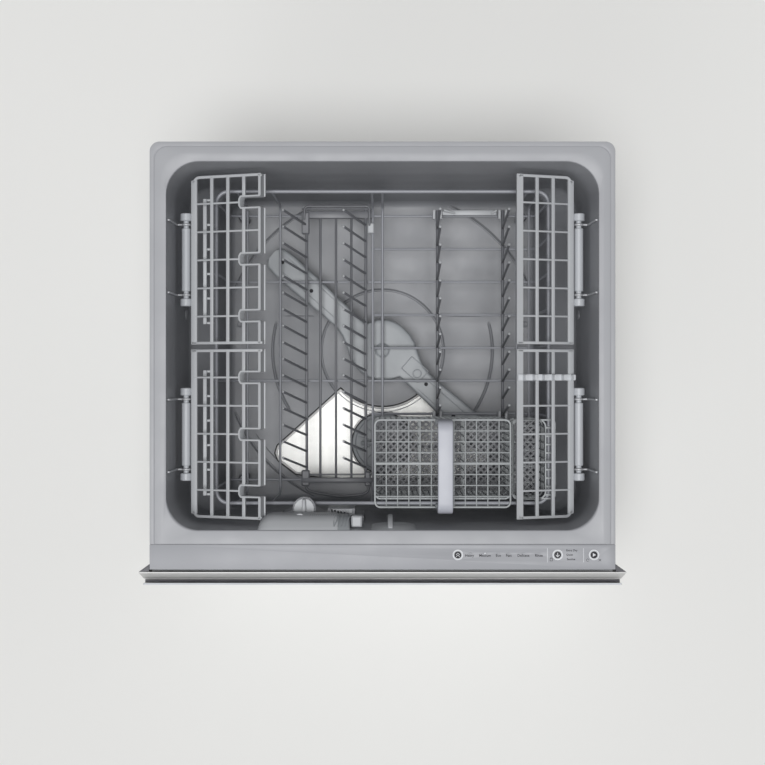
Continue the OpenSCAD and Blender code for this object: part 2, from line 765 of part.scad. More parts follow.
module rack_rim_wire() color([0.4, 0.41, 0.43]) at_rim() translate([0, 0, rack_rim_z]) {
    cx = rack_x - rack_corner_r;
    cy = rack_y - rack_corner_r;
    for (s = [-1, 1]) {
        wire([-cx, s * rack_y, 0], [cx, s * rack_y, 0], rim_wire_r);
        wire([s * rack_x, -cy, 0], [s * rack_x, cy, 0], rim_wire_r);
    }
    for (q = [[cx, cy, 0], [-cx, cy, 90], [-cx, -cy, 180], [cx, -cy, 270]])
        translate([q[0], q[1], 0]) rotate([0, 0, q[2]])
            rotate_extrude(angle = 90) translate([rack_corner_r, 0]) circle(rim_wire_r);
}

upright_top = rack_rim_z - rim_wire_r - seat;

// Straight wires along Y with their uprights at both ends
module rack_long_wires() color([0.4, 0.41, 0.43]) at_rim() for (x = long_x) {
    end = rack_y - wire_r - seat;
    wire([x, -end, long_z], [x, end, long_z], wire_r);
    for (s = [-1, 1]) wire([x, s * rack_y, long_z - wire_r], [x, s * rack_y, upright_top], wire_r);
}

// Straight wires along X; the short ones start at the rack's middle
module rack_cross_wires() color([0.4, 0.41, 0.43]) at_rim() for (i = [0:len(cross_y) - 1]) {
    y = cross_y[i];
    wide = len(search(i, wide_wires)) > 0;
    end = rack_x - wire_r - seat;
    wire([wide ? -end : cross_left, y, cross_z], [end, y, cross_z], wire_r);
    for (s = wide ? [-1, 1] : [1])
        wire([s * rack_x, y, cross_z - wire_r], [s * rack_x, y, upright_top], wire_r);
}

// Round feet under the first and last cross wires
foot_r = 6;
foot_x = rack_x - 17.6;
module rack_feet() color([0.35, 0.36, 0.38]) at_rim()
    for (x = [-foot_x, foot_x], y = [cross_y[0] - 1, cross_y[8] + 1]) translate([x, y, floor_z + seat])
        cylinder(h = cross_z - wire_r - floor_z - 2 * seat, r = foot_r);

// Comb strips outside the rack's left rim wire
comb_pitch = 31.4;
comb_out = 14.4;
module side_combs() color([0.6, 0.61, 0.63]) at_rim() for (s = [-1, 1]) {
    x0 = -rack_x - rim_wire_r - comb_out;
    for (i = [0:5]) {
        y = s * (31 + i * comb_pitch);
        span([x0 + 4, y - 1.5, rack_rim_z - 1.5], [-rack_x - rim_wire_r - seat, y + 1.5, rack_rim_z + 1.5]);
    }
    y0 = s > 0 ? 29.5 : -32.5 - 5 * comb_pitch;
    span([x0, y0, rack_rim_z - 5], [x0 + 5, y0 + 5 * comb_pitch + 3, rack_rim_z + 4]);
}

// ---- tine inserts ----

left_bar_x = [left_rods[0] - 7, left_rods[1] + 8.5];
module left_insert_frame() color([0.34, 0.35, 0.37]) at_rim() {
    for (y = left_bars_y) difference() {
        span([left_bar_x[0], y - bar_d / 2, frame_z], [left_bar_x[1], y + bar_d / 2, frame_z + bar_h]);
        for (x = left_rods) translate([x, y - bar_d, rod_z]) rotate([-90, 0, 0])
            cylinder(h = 2 * bar_d, r = rod_r + run);
    }
    for (x = [-86, -64.4, -43.2])
        wire([x, left_bars_y[1] + bar_d / 2 + seat, frame_z + wire_r],
            [x, left_bars_y[0] - bar_d / 2 - seat, frame_z + wire_r], wire_r);
}

module right_insert_frame() color([0.5, 0.51, 0.53]) at_rim() {
    difference() {
        span([right_rods[0] - clip_w / 2, right_bar_y - bar_d / 2, frame_z],
            [right_rods[1] + clip_w / 2, right_bar_y + bar_d / 2, frame_z + bar_h]);
        for (x = right_rods) translate([x, right_bar_y - bar_d, rod_z]) rotate([-90, 0, 0])
            cylinder(h = 2 * bar_d, r = rod_r + run);
    }
    for (x = right_rods) {
        difference() {
            span([x - clip_w / 2, right_clip_y - bar_d / 2, frame_z],
                [x + clip_w / 2, right_clip_y + bar_d / 2, frame_z + bar_h]);
            translate([x, right_clip_y - bar_d, rod_z]) rotate([-90, 0, 0])
                cylinder(h = 2 * bar_d, r = rod_r + run);
        }
        insert_foot(x, right_clip_y - bar_d / 2, cross_y[6] + 2);
        insert_foot(x, right_bar_y - bar_d / 2, right_bar_y + bar_d / 2);
    }
}

// A foot under a clip or bar that stands on a cross wire
module insert_foot(x, y0, y1)
    span([x - clip_w / 2, y0, cross_z + wire_r + rest], [x + clip_w / 2, y1, frame_z + eps]);

// A rod along Y with leaning tines welded to it
module tine_row(x, ends, first, pitch, count, lean) color([0.36, 0.37, 0.39]) at_rim() {
    wire([x, ends[0], rod_z], [x, ends[1], rod_z], rod_r);
    across = norm([lean[0], lean[2]]);
    start = (rod_r + seat + tine_r * lean[1] / norm(lean)) / across;
    for (i = [0:count - 1]) {
        base = [x, first - i * pitch, rod_z];
        wire(base + lean * start, base + lean, tine_r);
    }
}

low_lean = [-low_side, low_back, low_h];
tall_lean = [0, tall_back, tall_h];
left_ends = [left_bars_y[1] - bar_d / 2 - 1, left_bars_y[0] + bar_d / 2 + 1];
right_ends = [right_clip_y - bar_d / 2 - 1, right_bar_y + bar_d / 2 + 1];
low_first = 172;
tall_first = 167.5;
module tine_row_1() tine_row(left_rods[0], left_ends, low_first, low_pitch, 16, low_lean);
module tine_row_2() tine_row(left_rods[1], left_ends, low_first, low_pitch, 16, low_lean);
module tine_row_3() tine_row(right_rods[0], right_ends, tall_first, tall_pitch, 12, tall_lean);
module tine_row_4() tine_row(right_rods[1], right_ends, tall_first, tall_pitch, 12, tall_lean);

// ---- baskets ----

// Both baskets hang by a flange over the rack's rim wire
module cutlery_basket() color([0.58, 0.6, 0.61]) at_rim() {
    x1 = basket_left + basket_w;
    difference() {
        span([basket_left, -basket_front, basket_rim_z - basket_h], [x1, -basket_back, basket_rim_z]);
        span([basket_left, -basket_front, basket_rim_z - basket_h] + basket_wall * [1, 1, 1],
            [x1 - basket_wall, -basket_back - basket_wall, basket_rim_z + cut]);
    }
    span([basket_left, -flange_front, rim_over_wire], [x1, -basket_front + eps, basket_rim_z]);
}

// Two crossed sets of bars that hold each piece of cutlery apart
module basket_lid() color([0.62, 0.63, 0.65]) at_rim() {
    x0 = basket_left + basket_wall + rest;
    x1 = basket_left + basket_w - basket_wall - rest;
    y0 = -basket_front + basket_wall + rest;
    y1 = -basket_back - basket_wall - rest;
    for (x = [x0:(x1 - x0 - lid_bar) / 12:x1 - lid_bar + eps])
        span([x, y0, basket_rim_z - 3.4], [x + lid_bar, y1, basket_rim_z - 1.8]);
    for (y = [y0:(y1 - y0 - lid_bar) / 7:y1 - lid_bar + eps])
        span([x0, y, basket_rim_z - 1.8 + seat], [x1, y + lid_bar, basket_rim_z - 0.2]);
}

// Arched carrying handle across the basket's middle
module basket_handle() color([0.72, 0.73, 0.77]) at_rim() {
    d = flange_front - basket_back;
    middle = -(flange_front + basket_back) / 2;
    translate([basket_left + basket_w / 2 - handle_w / 2 + 1.2, middle, basket_rim_z + seat])
        rotate([90, 0, 90]) linear_extrude(handle_w) difference() {
            translate([0, handle_h / 2 - 10]) rounded(d, handle_h + 20, 9);
            translate([0, handle_h / 2 - 10]) rounded(d - 2 * handle_t, handle_h + 20 - 2 * handle_t, 6);
            translate([-d, -40]) square([2 * d, 40]);
        }
}

module side_basket() color([0.56, 0.58, 0.59]) at_rim() {
    middle = [side_left + side_w / 2, -(basket_front + basket_back) / 2];
    hollow = 2 * basket_wall;
    flange_x = rack_x + rim_wire_r + side_flange;
    translate([middle[0], middle[1], rim_over_wire - side_h]) difference() {
        linear_extrude(side_h) rounded(side_w, basket_d, side_corner_r);
        translate([0, 0, basket_wall]) linear_extrude(side_h)
            rounded(side_w - hollow, basket_d - hollow, side_corner_r - basket_wall);
    }
    translate([0, 0, rim_over_wire]) linear_extrude(side_flange_t) difference() {
        translate([side_left, -basket_front]) square([flange_x - side_left, basket_d]);
        translate(middle) rounded(side_w - hollow, basket_d - hollow, side_corner_r - basket_wall);
    }
}

// ---- cup racks ----

cup_half = cup_gap / 2;
notch_v = [cup_len / 6, cup_len / 2, cup_len * 5 / 6];

// The frame's outline, drawn in for its opening; its outer far corner is cut off
module cup_outline(u0, u1, v0, v1, c) polygon([[u0, v0], [u1, v0], [u1, v1], [u0 + c, v1], [u0, v1 - c]]);

// A stem notch, grown by its rib, open past the rack's edge
module notch_outline(v, grow, reach) polygon([[reach + 2 * cut, v - notch_w / 2 - grow],
    [reach + 2 * cut, v + notch_w / 2 + grow], [reach - notch_d + 4, v + notch_w / 2 + grow],
    [reach - notch_d - grow, v + notch_w / 2 - 3], [reach - notch_d - grow, v - notch_w / 2 + 3],
    [reach - notch_d + 4, v - notch_w / 2 - grow]]);

// A rack lying flat: hinge axis along +Y at the origin, reaching along +X
module cup_rack(reach, notched) difference() {
    union() {
        translate([0, 0, -cup_t / 2]) linear_extrude(cup_t) {
            difference() {
                cup_outline(rail_u, reach, 0, cup_len, corner_cut);
                cup_outline(rail_u + rail_w, reach - rim_u, end_w, cup_len - end_w, corner_cut - 3);
            }
            for (u = bar_us) if (u < reach - rim_u - 4)
                translate([u, end_w - eps]) square([bar_w, cup_len - 2 * end_w + 2 * eps]);
            if (notched) for (v = notch_v) intersection() {
                notch_outline(v, 2.4, reach);
                square([reach, cup_len]);
            }
        }
        for (i = [1:5]) wire([rail_u + 2, i * cup_len / 6, 0], [reach - rim_u / 2, i * cup_len / 6, 0],
            cup_wire_r);
    }
    if (notched) for (v = notch_v) translate([0, 0, -cup_t]) linear_extrude(2 * cup_t)
        notch_outline(v, 0, reach);
}

// Puts a flat rack or its bar on its hinge axis, for the left or right and the back or front
module at_hinge(right, front) at_rim() mirror([right ? 1 : 0, 0, 0]) mirror([0, front ? 1 : 0, 0])
    translate([-hinge_x, cup_half, hinge_z]) rotate([0, -cup_slope, 0]) children();

// Barrel, journal, bar, journal, barrel
module hinge_bar() rotate([-90, 0, 0]) {
    for (v = [bar_v0, bar_v1 - barrel_l]) translate([0, 0, v]) cylinder(h = barrel_l, r = barrel_r);
    translate([0, 0, bar_v0 + barrel_l + journal_l])
        cylinder(h = bar_v1 - bar_v0 - 2 * (barrel_l + journal_l), r = bar_r);
    translate([0, 0, bar_v0 + eps]) cylinder(h = bar_v1 - bar_v0 - 2 * eps, r = journal_r);
}

module rack_colour() color([0.63, 0.64, 0.66]) children();
module bar_colour() color([0.78, 0.8, 0.82]) children();
module cup_rack_back_left() rack_colour() at_hinge(false, false) cup_rack(cup_reach_left, true);
module cup_rack_front_left() rack_colour() at_hinge(false, true) cup_rack(cup_reach_left, true);
module cup_rack_back_right() rack_colour() at_hinge(true, false) cup_rack(cup_reach_right, false);
module cup_rack_front_right() rack_colour() at_hinge(true, true) cup_rack(cup_reach_right, false);
module hinge_bar_back_left() bar_colour() at_hinge(false, false) hinge_bar();
module hinge_bar_front_left() bar_colour() at_hinge(false, true) hinge_bar();
module hinge_bar_back_right() bar_colour() at_hinge(true, false) hinge_bar();
module hinge_bar_front_right() bar_colour() at_hinge(true, true) hinge_bar();

// Wire loops round the journals; each wire runs to the tub's wall and up it, nearly to the rim
hook_ring = journal_r + run + hook_r;
hook_top = 10;
hook_bead_r = hook_r * 1.08;
hook_foot_x = wall_x(hinge_depth) - hook_bead_r - rest;
hook_top_x = wall_x(hook_top) - hook_bead_r - rest;
module rack_hooks() color([0.7, 0.71, 0.73]) at_rim()
    for (s = [-1, 1], t = [-1, 1], v = [bar_v0, bar_v1 - 2 * barrel_l - journal_l])
        translate([0, t * (cup_half + v + barrel_l + journal_l / 2), 0]) {
            translate([s * hinge_x, 0, hinge_z]) rotate([90, 0, 0]) rotate_extrude()
                translate([hook_ring, 0]) circle(hook_r);
            wire([s * (hinge_x + hook_ring), 0, hinge_z], [s * hook_foot_x, 0, hinge_z], hook_r);
            translate([s * hook_foot_x, 0, hinge_z]) sphere(r = hook_bead_r);
            wire([s * hook_foot_x, 0, hinge_z], [s * hook_top_x, 0, -hook_top], hook_r);
            wire([s * hook_top_x, 0, -hook_top], [s * (wall_x(hook_top) - seat), 0, -hook_top], hook_r);
            translate([s * hook_top_x, 0, -hook_top]) sphere(r = hook_bead_r);
        }

// A toothed strip across the front right cup rack
module utensil_clip() color([0.8, 0.82, 0.84]) at_hinge(true, true) translate([0, cup_len / 6 - 4, 0]) {
    translate([rail_u, 0, cup_t / 2 + seat]) cube([cup_reach_right - rail_u, 8, 2.4]);
    for (i = [0:5]) translate([rail_u + 3 + i * 13.4, 0, cup_t / 2 + 2]) cube([3, 8, 9]);
}

// ---- runners ----

// A channel along Y, open towards the drawer's middle
module channel(outer_x, h, t) difference() {
    span([runner_in, -runner_l / 2, runner_z - h / 2], [outer_x, runner_l / 2, runner_z + h / 2]);
    span([runner_in - cut, -runner_l / 2 - cut, runner_z - h / 2 + t],
        [outer_x - t, runner_l / 2 + cut, runner_z + h / 2 - t]);
}

module outer_runners() color([0.6, 0.61, 0.62]) at_rim() both_sides() difference() {
    channel(runner_x, runner_h, runner_t);
    for (y = [-runner_hole_pitch / 2, runner_hole_pitch / 2]) translate([middle_x, y, runner_z])
        rotate([0, 90, 0]) cylinder(h = runner_x - middle_x + cut, r = runner_hole_r);
}

module middle_runners() color([0.66, 0.67, 0.68]) at_rim() both_sides()
    channel(middle_x, middle_h, runner_t);

module inner_runners() color([0.7, 0.71, 0.72]) at_rim() both_sides() channel(inner_x, inner_h, runner_t);

// Z-shaped carriers from the inner runners to the base pan's flanges
bracket_in = 40;
module runner_brackets() color([0.5, 0.51, 0.52]) at_rim() both_sides() {
    pan_side = pan_w / 2 + seat;
    web = inner_x - runner_t - seat;
    y = runner_l / 2 - bracket_in;
    span([pan_side, -y, shelf_z - 28], [pan_side + runner_t, y, shelf_z + eps]);
    span([pan_side, -y, shelf_z], [web, y, shelf_z + runner_t]);
    span([web - runner_t, -y, shelf_z - 8], [web, y, shelf_z + 14]);
}

tub();
fascia();
door_edge_trim();
door_end_caps();
front_panel();
panel_insulation();
panel_frame();
control_board();
button_rings();
indicator_lights();
cycle_button();
option_button();
start_button();
base_pan();
tub_supports();
sump();
heater_element();
wash_motor();
pump_rotor();
impeller();
drain_pump();
inlet_pipe();
filter_plate();
drain_filter();
spray_hub();
spray_arm_lower();
spray_arm_upper();
dispenser_housing();
detergent_lid();
rinse_aid_cap();
rack_rim_wire();
rack_long_wires();
rack_cross_wires();
rack_feet();
side_combs();
left_insert_frame();
right_insert_frame();
tine_row_1();
tine_row_2();
tine_row_3();
tine_row_4();
side_basket();
cutlery_basket();
basket_lid();
basket_handle();
cup_rack_back_left();
cup_rack_front_left();
cup_rack_back_right();
cup_rack_front_right();
hinge_bar_back_left();
hinge_bar_front_left();
hinge_bar_back_right();
hinge_bar_front_right();
rack_hooks();
utensil_clip();
inner_runners();
runner_brackets();
middle_runners();
outer_runners();
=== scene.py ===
import json
import math
from functools import partial

import bmesh
import bpy
import numpy as np
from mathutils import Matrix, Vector


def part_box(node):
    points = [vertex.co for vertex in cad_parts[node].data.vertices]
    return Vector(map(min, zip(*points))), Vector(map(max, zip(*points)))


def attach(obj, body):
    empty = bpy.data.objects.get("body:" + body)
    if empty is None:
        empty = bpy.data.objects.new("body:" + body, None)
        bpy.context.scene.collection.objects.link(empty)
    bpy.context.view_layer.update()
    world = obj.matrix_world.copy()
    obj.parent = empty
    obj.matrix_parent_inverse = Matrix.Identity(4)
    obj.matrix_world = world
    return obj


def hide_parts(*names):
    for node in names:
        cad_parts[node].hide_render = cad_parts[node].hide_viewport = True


bl_info = {
    "name": "Dishwasher drawer",
    "version": (1, 0, 0),
    "blender": (4, 5, 0),
    "location": "3D View > Sidebar > Drawer",
    "description": "Dresses the packed solids of a dishwasher drawer: tub, racks, baskets, door edge and finishes",
    "category": "Object",
}

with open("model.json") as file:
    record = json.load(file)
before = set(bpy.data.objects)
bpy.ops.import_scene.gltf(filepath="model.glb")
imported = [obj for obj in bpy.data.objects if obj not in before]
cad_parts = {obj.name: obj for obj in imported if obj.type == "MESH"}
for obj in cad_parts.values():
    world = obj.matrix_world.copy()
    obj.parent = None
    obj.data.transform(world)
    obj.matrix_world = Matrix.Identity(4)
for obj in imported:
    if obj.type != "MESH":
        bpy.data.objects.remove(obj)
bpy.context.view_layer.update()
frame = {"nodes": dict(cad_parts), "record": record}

MM = 0.001
RIM_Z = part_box("fascia")[1].z
MIDDLE_Y = sum(corner.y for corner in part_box("rack_rim_wire")) / 2
MOUTH = np.array([0, MIDDLE_Y, RIM_Z])
DRAWER = "drawer"
# How deep a rib's foot reaches into the surface that it stands on, and half the thickness of a printed letter
RIB_FOOT = 0.6
LETTER_HALF = 0.02


# ---- surfaces ----


def at_rim(points):
    """Points in millimetres from the middle of the tub's mouth, at the level of its rim, as metres in the part's frame:
    p * 0.001 + mouth."""
    return np.asarray(points, float) * MM + MOUTH


def unit(v):
    """Each vector divided by its length."""
    return v / np.linalg.norm(v, axis=-1, keepdims=True)


def flat(points, height=0.0):
    """Flat points (a, b) as (a, b, height)."""
    points = np.asarray(points, float)
    return np.column_stack([points, np.full(len(points), height)])


def swung(points, angle):
    """Points turned in the flat about the origin: (x cos a - y sin a, x sin a + y cos a), their heights kept."""
    x, y = points[..., 0], points[..., 1]
    c, s = math.cos(angle), math.sin(angle)
    return np.concatenate([np.stack([x * c - y * s, x * s + y * c], -1), points[..., 2:]], -1)


class Shell:
    """Points and faces of one piece, gathered surface by surface."""

    def __init__(self):
        self.points, self.faces, self.count = [], [], 0

    def add(self, points, *faces):
        """One more surface: its points, and arrays of faces that count from its own first point."""
        points = np.asarray(points, float).reshape(-1, 3)
        self.points.append(points)
        self.faces += [f + self.count for f in faces]
        self.count += len(points)

    def grid(self, points, closed=False, caps=True):
        """Rings of points, row by row. A quad joins (i, j), (i+1, j), (i+1, j+1) and (i, j+1); each ring closes on
        itself, and a face caps the first and the last ring."""
        rows, around = points.shape[:2]
        i = np.arange(rows if closed else rows - 1)[:, None]
        j = np.arange(around)[None, :]
        i2, j2 = (i + 1) % rows, (j + 1) % around
        corners = np.broadcast_arrays(i * around + j, i2 * around + j, i2 * around + j2, i * around + j2)
        faces = [np.stack(corners, -1).reshape(-1, 4)]
        if caps and not closed:
            ring = np.arange(around)[None]
            faces += [ring[:, ::-1], ring + (rows - 1) * around]
        self.add(points, *faces)

    def turned(self, placing):
        """The same surfaces with every point passed through a placing function."""
        other = Shell()
        other.points = [placing(p) for p in self.points]
        other.faces, other.count = self.faces, self.count
        return other


def circle(r, sides=10):
    """r (cos a, sin a) for equal steps of a."""
    a = np.arange(sides) * 2 * math.pi / sides
    return r * np.stack([np.cos(a), np.sin(a)], -1)


def oblong(w, h, r, steps=2):
    """A rectangle w by h whose corners are quarter circles of radius r."""
    a = np.linspace(0, math.pi / 2, steps + 1)
    quarter = r * np.stack([np.cos(a), np.sin(a)], -1)
    middles = np.array([[1, 1], [-1, 1], [-1, -1], [1, -1]]) * [w / 2 - r, h / 2 - r]
    turns = [quarter, quarter[:, ::-1] * [-1, 1], -quarter, quarter[:, ::-1] * [1, -1]]
    return np.concatenate([m + t for m, t in zip(middles, turns)])


def bend(points, cut, steps=5):
    """A line with rounded corners: near corner q it follows (1-t)^2 a + 2 t (1-t) q + t^2 b, where a and b lie `cut`
    before and after q."""
    points = np.asarray(points, float)
    cuts = np.broadcast_to(cut, len(points))
    t = np.linspace(0, 1, steps + 1)[:, None]
    line = [points[:1]]
    for p, q, r, c in zip(points[:-2], points[1:-1], points[2:], cuts[1:-1]):
        a = q + (p - q) * min(c / np.linalg.norm(p - q), 0.49)
        b = q + (r - q) * min(c / np.linalg.norm(r - q), 0.49)
        line.append((1 - t) ** 2 * a + 2 * t * (1 - t) * q + t**2 * b)
    return np.concatenate([*line, points[-1:]])


def carry(path, profile, closed=False, size=None, across=None):
    """A profile carried along a path: its point (a, b) stands at p + s (a n + b m), where n and m are square to the
    path at p and s is the size there."""
    path = np.asarray(path, float)
    steps = np.roll(path, -1, 0) - np.roll(path, 1, 0) if closed else np.gradient(path, axis=0)
    along = unit(steps)
    if across is None:
        across = np.linalg.svd(along)[2][-1]
    across = np.asarray(across, float)
    n = unit(across - (along @ across)[:, None] * along)
    m = np.cross(along, n)
    s = np.ones(len(path)) if size is None else np.asarray(size)
    flat = profile[None, :, :1] * n[:, None] + profile[None, :, 1:] * m[:, None]
    return path[:, None] + s[:, None, None] * flat


def wire(shell, path, r, sides=10, dome=0.6):
    """A round wire: a circle carried along the path. Past each end, rings at dome r sin(a) are r cos(a) wide."""
    path = np.asarray(path, float)
    a = np.radians([35, 65, 88])
    before = path[0] + np.outer(np.sin(a[::-1]), unit(path[0] - path[1])) * r * dome
    after = path[-1] + np.outer(np.sin(a), unit(path[-1] - path[-2])) * r * dome
    size = np.concatenate([np.cos(a[::-1]), np.ones(len(path)), np.cos(a)])
    shell.grid(carry(np.concatenate([before, path, after]), circle(r, sides), size=size))


def hoop(shell, path, profile, across=None):
    """A profile carried round a closed path."""
    shell.grid(carry(path, profile, closed=True, across=across), closed=True)


def bar(shell, path, w, h, soft=0.6, across=(0, 0, 1)):
    """A moulded bar: an oblong w wide and h high carried along the path, its ends drawn in over the last `soft`
    millimetres."""
    path = np.asarray(path, float)
    first, last = unit(path[0] - path[1]), unit(path[-1] - path[-2])
    line = np.concatenate([[path[0]], [path[0] - soft * first], path[1:-1], [path[-1] - soft * last], [path[-1]]])
    size = np.ones(len(line))
    size[[0, -1]] = 1 - soft / max(w, h)
    shell.grid(carry(line, oblong(h, w, min(soft, h * 0.4, w * 0.4)), size=size, across=across))


def lathe(shell, profile, centre, axis=(0, 0, 1), sides=40):
    """A profile of (radius, height) turned round an axis: centre + r cos(a) e + r sin(a) f + height axis."""
    profile = np.asarray(profile, float)
    axis = np.asarray(axis, float)
    e = unit(np.cross(axis, [0.31, 0.87, 0.38]))
    f = np.cross(axis, e)
    ring = circle(1, sides)
    around = ring[:, :1] * e + ring[:, 1:] * f
    shell.grid(np.asarray(centre, float) + profile[:, None, :1] * around + profile[:, None, 1:] * axis)


def inset(outline, d):
    """An outline drawn in by d: each point moves along the mean of its two edges' inward normals, so that both edges
    move by d."""
    edge = unit(np.roll(outline, -1, 0) - outline)
    normal = np.stack([-edge[:, 1], edge[:, 0]], -1)
    both = normal + np.roll(normal, 1, 0)
    return outline + d * both * 2 / np.maximum((both**2).sum(-1, keepdims=True), 0.4)


def slab(shell, outline, z0, z1, soft=0.4):
    """A flat outline, counter-clockwise, raised from z0 to z1, its upper and lower edges softened by a chamfer."""
    outline = np.asarray(outline, float)
    rings = [(inset(outline, soft), z0), (outline, z0 + soft), (outline, z1 - soft), (inset(outline, soft), z1)]
    shell.grid(np.stack([np.column_stack([o, np.full(len(o), z)]) for o, z in rings]))


def dress(name, shell, body, slot, *nodes, sharp=38):
    """Makes gathered surfaces one object that rides on a body and takes a slot's finish; faces turn outwards and shade
    smooth where they meet at less than `sharp` degrees."""
    faces = shell.faces
    mesh = bpy.data.meshes.new(name)
    points = at_rim(np.concatenate(shell.points))
    mesh.vertices.add(len(points))
    mesh.vertices.foreach_set("co", points.ravel())
    corners = np.concatenate([f.ravel() for f in faces])
    sizes = np.concatenate([np.full(len(f), f.shape[1]) for f in faces])
    mesh.loops.add(len(corners))
    mesh.loops.foreach_set("vertex_index", corners)
    mesh.polygons.add(len(sizes))
    mesh.polygons.foreach_set("loop_start", np.cumsum(sizes) - sizes)
    mesh.update(calc_edges=True)
    mesh.validate()
    merge_and_turn(mesh)
    mesh.set_sharp_from_angle(angle=math.radians(sharp))
    return show(name, mesh, body, slot, *nodes)


def merge_and_turn(mesh):
    """Merges points that lie on each other and turns the faces of each closed surface outwards."""
    work = bmesh.new()
    work.from_mesh(mesh)
    bmesh.ops.remove_doubles(work, verts=work.verts, dist=1e-6)
    bmesh.ops.recalc_face_normals(work, faces=work.faces)
    work.to_mesh(mesh)
    work.free()
    mesh.shade_smooth()


def show(name, mesh, body, slot, *nodes):
    """Puts a mesh into the scene with its slot's finish, on its body and in the place of its nodes."""
    piece = bpy.data.objects.new(name, mesh)
    bpy.context.scene.collection.objects.link(piece)
    mesh.materials.clear()
    mesh.materials.append(finish(slot))
    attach(piece, body)
    if nodes:
        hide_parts(*nodes)
    return piece


def soften(node, width, body=DRAWER, slot=None):
    """A solid's mesh, copied, merged and freed of the lines across its flat faces, with a rounded edge of that width in
    millimetres wherever two faces meet at over 30 degrees."""
    work = bmesh.new()
    work.from_mesh(frame["nodes"][node].data)
    bmesh.ops.remove_doubles(work, verts=work.verts, dist=1e-6)
    bmesh.ops.dissolve_limit(work, angle_limit=math.radians(0.8), verts=work.verts, edges=work.edges)
    mesh = bpy.data.meshes.new(node + "_soft")
    work.to_mesh(mesh)
    work.free()
    mesh.shade_smooth()
    piece = show(node + "_soft", mesh, body, slot or SLOTS[node], node)
    edge = piece.modifiers.new("rounded edges", "BEVEL")
    edge.width = width * MM
    edge.segments = 2
    edge.limit_method = "ANGLE"
    edge.angle_limit = math.radians(30)
    edge.harden_normals = True
    return piece


# ---- finishes ----

SLOTS = {part["node"]: part["material_slot"] for part in frame["record"]["subparts"]}


class Nodes:
    """Adds and joins the shader nodes of a material or of the room."""

    def __init__(self, owner, shader="Principled BSDF"):
        self.tree = owner.node_tree
        self.shader = self.tree.nodes[shader]

    def give(self, socket, value):
        """Joins an input to another node's output, or sets its value."""
        if isinstance(value, bpy.types.NodeSocket):
            self.tree.links.new(value, socket)
        else:
            socket.default_value = value

    def new(self, kind, settings=None, **inputs):
        """A node whose inputs are named, or numbered as i0, i1 and so on."""
        node = self.tree.nodes.new(kind)
        for key, value in (settings or {}).items():
            setattr(node, key, value)
        for key, value in inputs.items():
            self.give(node.inputs[int(key[1:]) if key[1:].isdigit() else key.replace("_", " ")], value)
        return node

    def set(self, name, value):
        """An input of the shader itself."""
        self.give(self.shader.inputs[name], value)

    def place(self, scale=(1, 1, 1)):
        """The piece's own coordinates in metres, stretched by scale."""
        where = self.new("ShaderNodeTexCoord").outputs["Object"]
        return self.new("ShaderNodeMapping", Vector=where, Scale=scale).outputs["Vector"]

    def noise(self, scale, detail=3.0, stretch=(1, 1, 1)):
        """Soft random patches, finer with scale and drawn out along the axes by stretch."""
        return self.new("ShaderNodeTexNoise", Vector=self.place(stretch), Scale=scale, Detail=detail).outputs["Fac"]

    def span(self, value, low, high, start=0.3, end=0.7):
        """A value from start to end carried over to low to high."""
        node = self.new("ShaderNodeMapRange", Value=value, i1=start, i2=end, i3=low, i4=high)
        return node.outputs["Result"]

    def blend(self, amount, one, two):
        """The colour between one and two at that amount."""
        node = self.new("ShaderNodeMix", {"data_type": "RGBA"}, i0=amount, i6=(*one, 1), i7=(*two, 1))
        return node.outputs[2]

    def bump(self, height, strength, distance):
        """Raises the surface's shading by a height map, at most by distance in metres."""
        node = self.new("ShaderNodeBump", Height=height, Strength=strength, Distance=distance)
        self.set("Normal", node.outputs["Normal"])


def shade(colour, amount):
    """A colour made lighter or darker by a factor."""
    return tuple(min(c * amount, 1) for c in colour)


def plastic(nodes, colour, rough, grain=2600, grain_depth=0.02):
    """Moulded plastic: slow drifts of tone and gloss, and a fine spark-eroded grain."""
    nodes.set("Base Color", nodes.blend(nodes.noise(9, 4), shade(colour, 0.93), shade(colour, 1.05)))
    nodes.set("Roughness", nodes.span(nodes.noise(23, 5), rough - 0.05, rough + 0.07))
    nodes.bump(nodes.noise(grain, 2), grain_depth, 0.0004)
    nodes.set("Specular IOR Level", 0.45)


def moulded(nodes, colour, rough):
    """The tub's plastic, painted darker from a hand's depth down than on its rim: painted shade for the dimmer light
    deep in the tub.
    """
    plastic(nodes, colour, rough)
    base = nodes.shader.inputs["Base Color"].links[0].from_socket
    z = nodes.new("ShaderNodeSeparateXYZ", Vector=nodes.place()).outputs["Z"]
    # Painted shade: the colour falls to about two thirds from 10 to 140 mm below the rim, on every face that takes the
    # tub's grey.
    tone = nodes.blend(nodes.span(z, 1.0, 0.0, RIM_Z - 0.01, RIM_Z - 0.14), (0.66, 0.665, 0.67), (1, 1, 1))
    mixed = nodes.new("ShaderNodeMix", {"data_type": "RGBA", "blend_type": "MULTIPLY"}, i0=1.0, i6=base, i7=tone)
    nodes.set("Base Color", mixed.outputs[2])


def brushed(nodes, colour, rough, along=(3, 420, 420)):
    """Brushed steel: streaks of tone, gloss and height, long in one direction."""
    streak = nodes.noise(3, 6, along)
    nodes.set("Base Color", nodes.blend(streak, shade(colour, 0.86), shade(colour, 1.1)))
    nodes.set("Roughness", nodes.span(streak, rough - 0.07, rough + 0.1))
    nodes.set("Metallic", 0.92)
    nodes.bump(streak, 0.08, 0.0002)


def satin(nodes, colour, rough):
    """Satin steel edge seen under soft light: the streaks of brushed steel with a duller shine."""
    brushed(nodes, colour, rough)
    nodes.set("Metallic", 0.35)


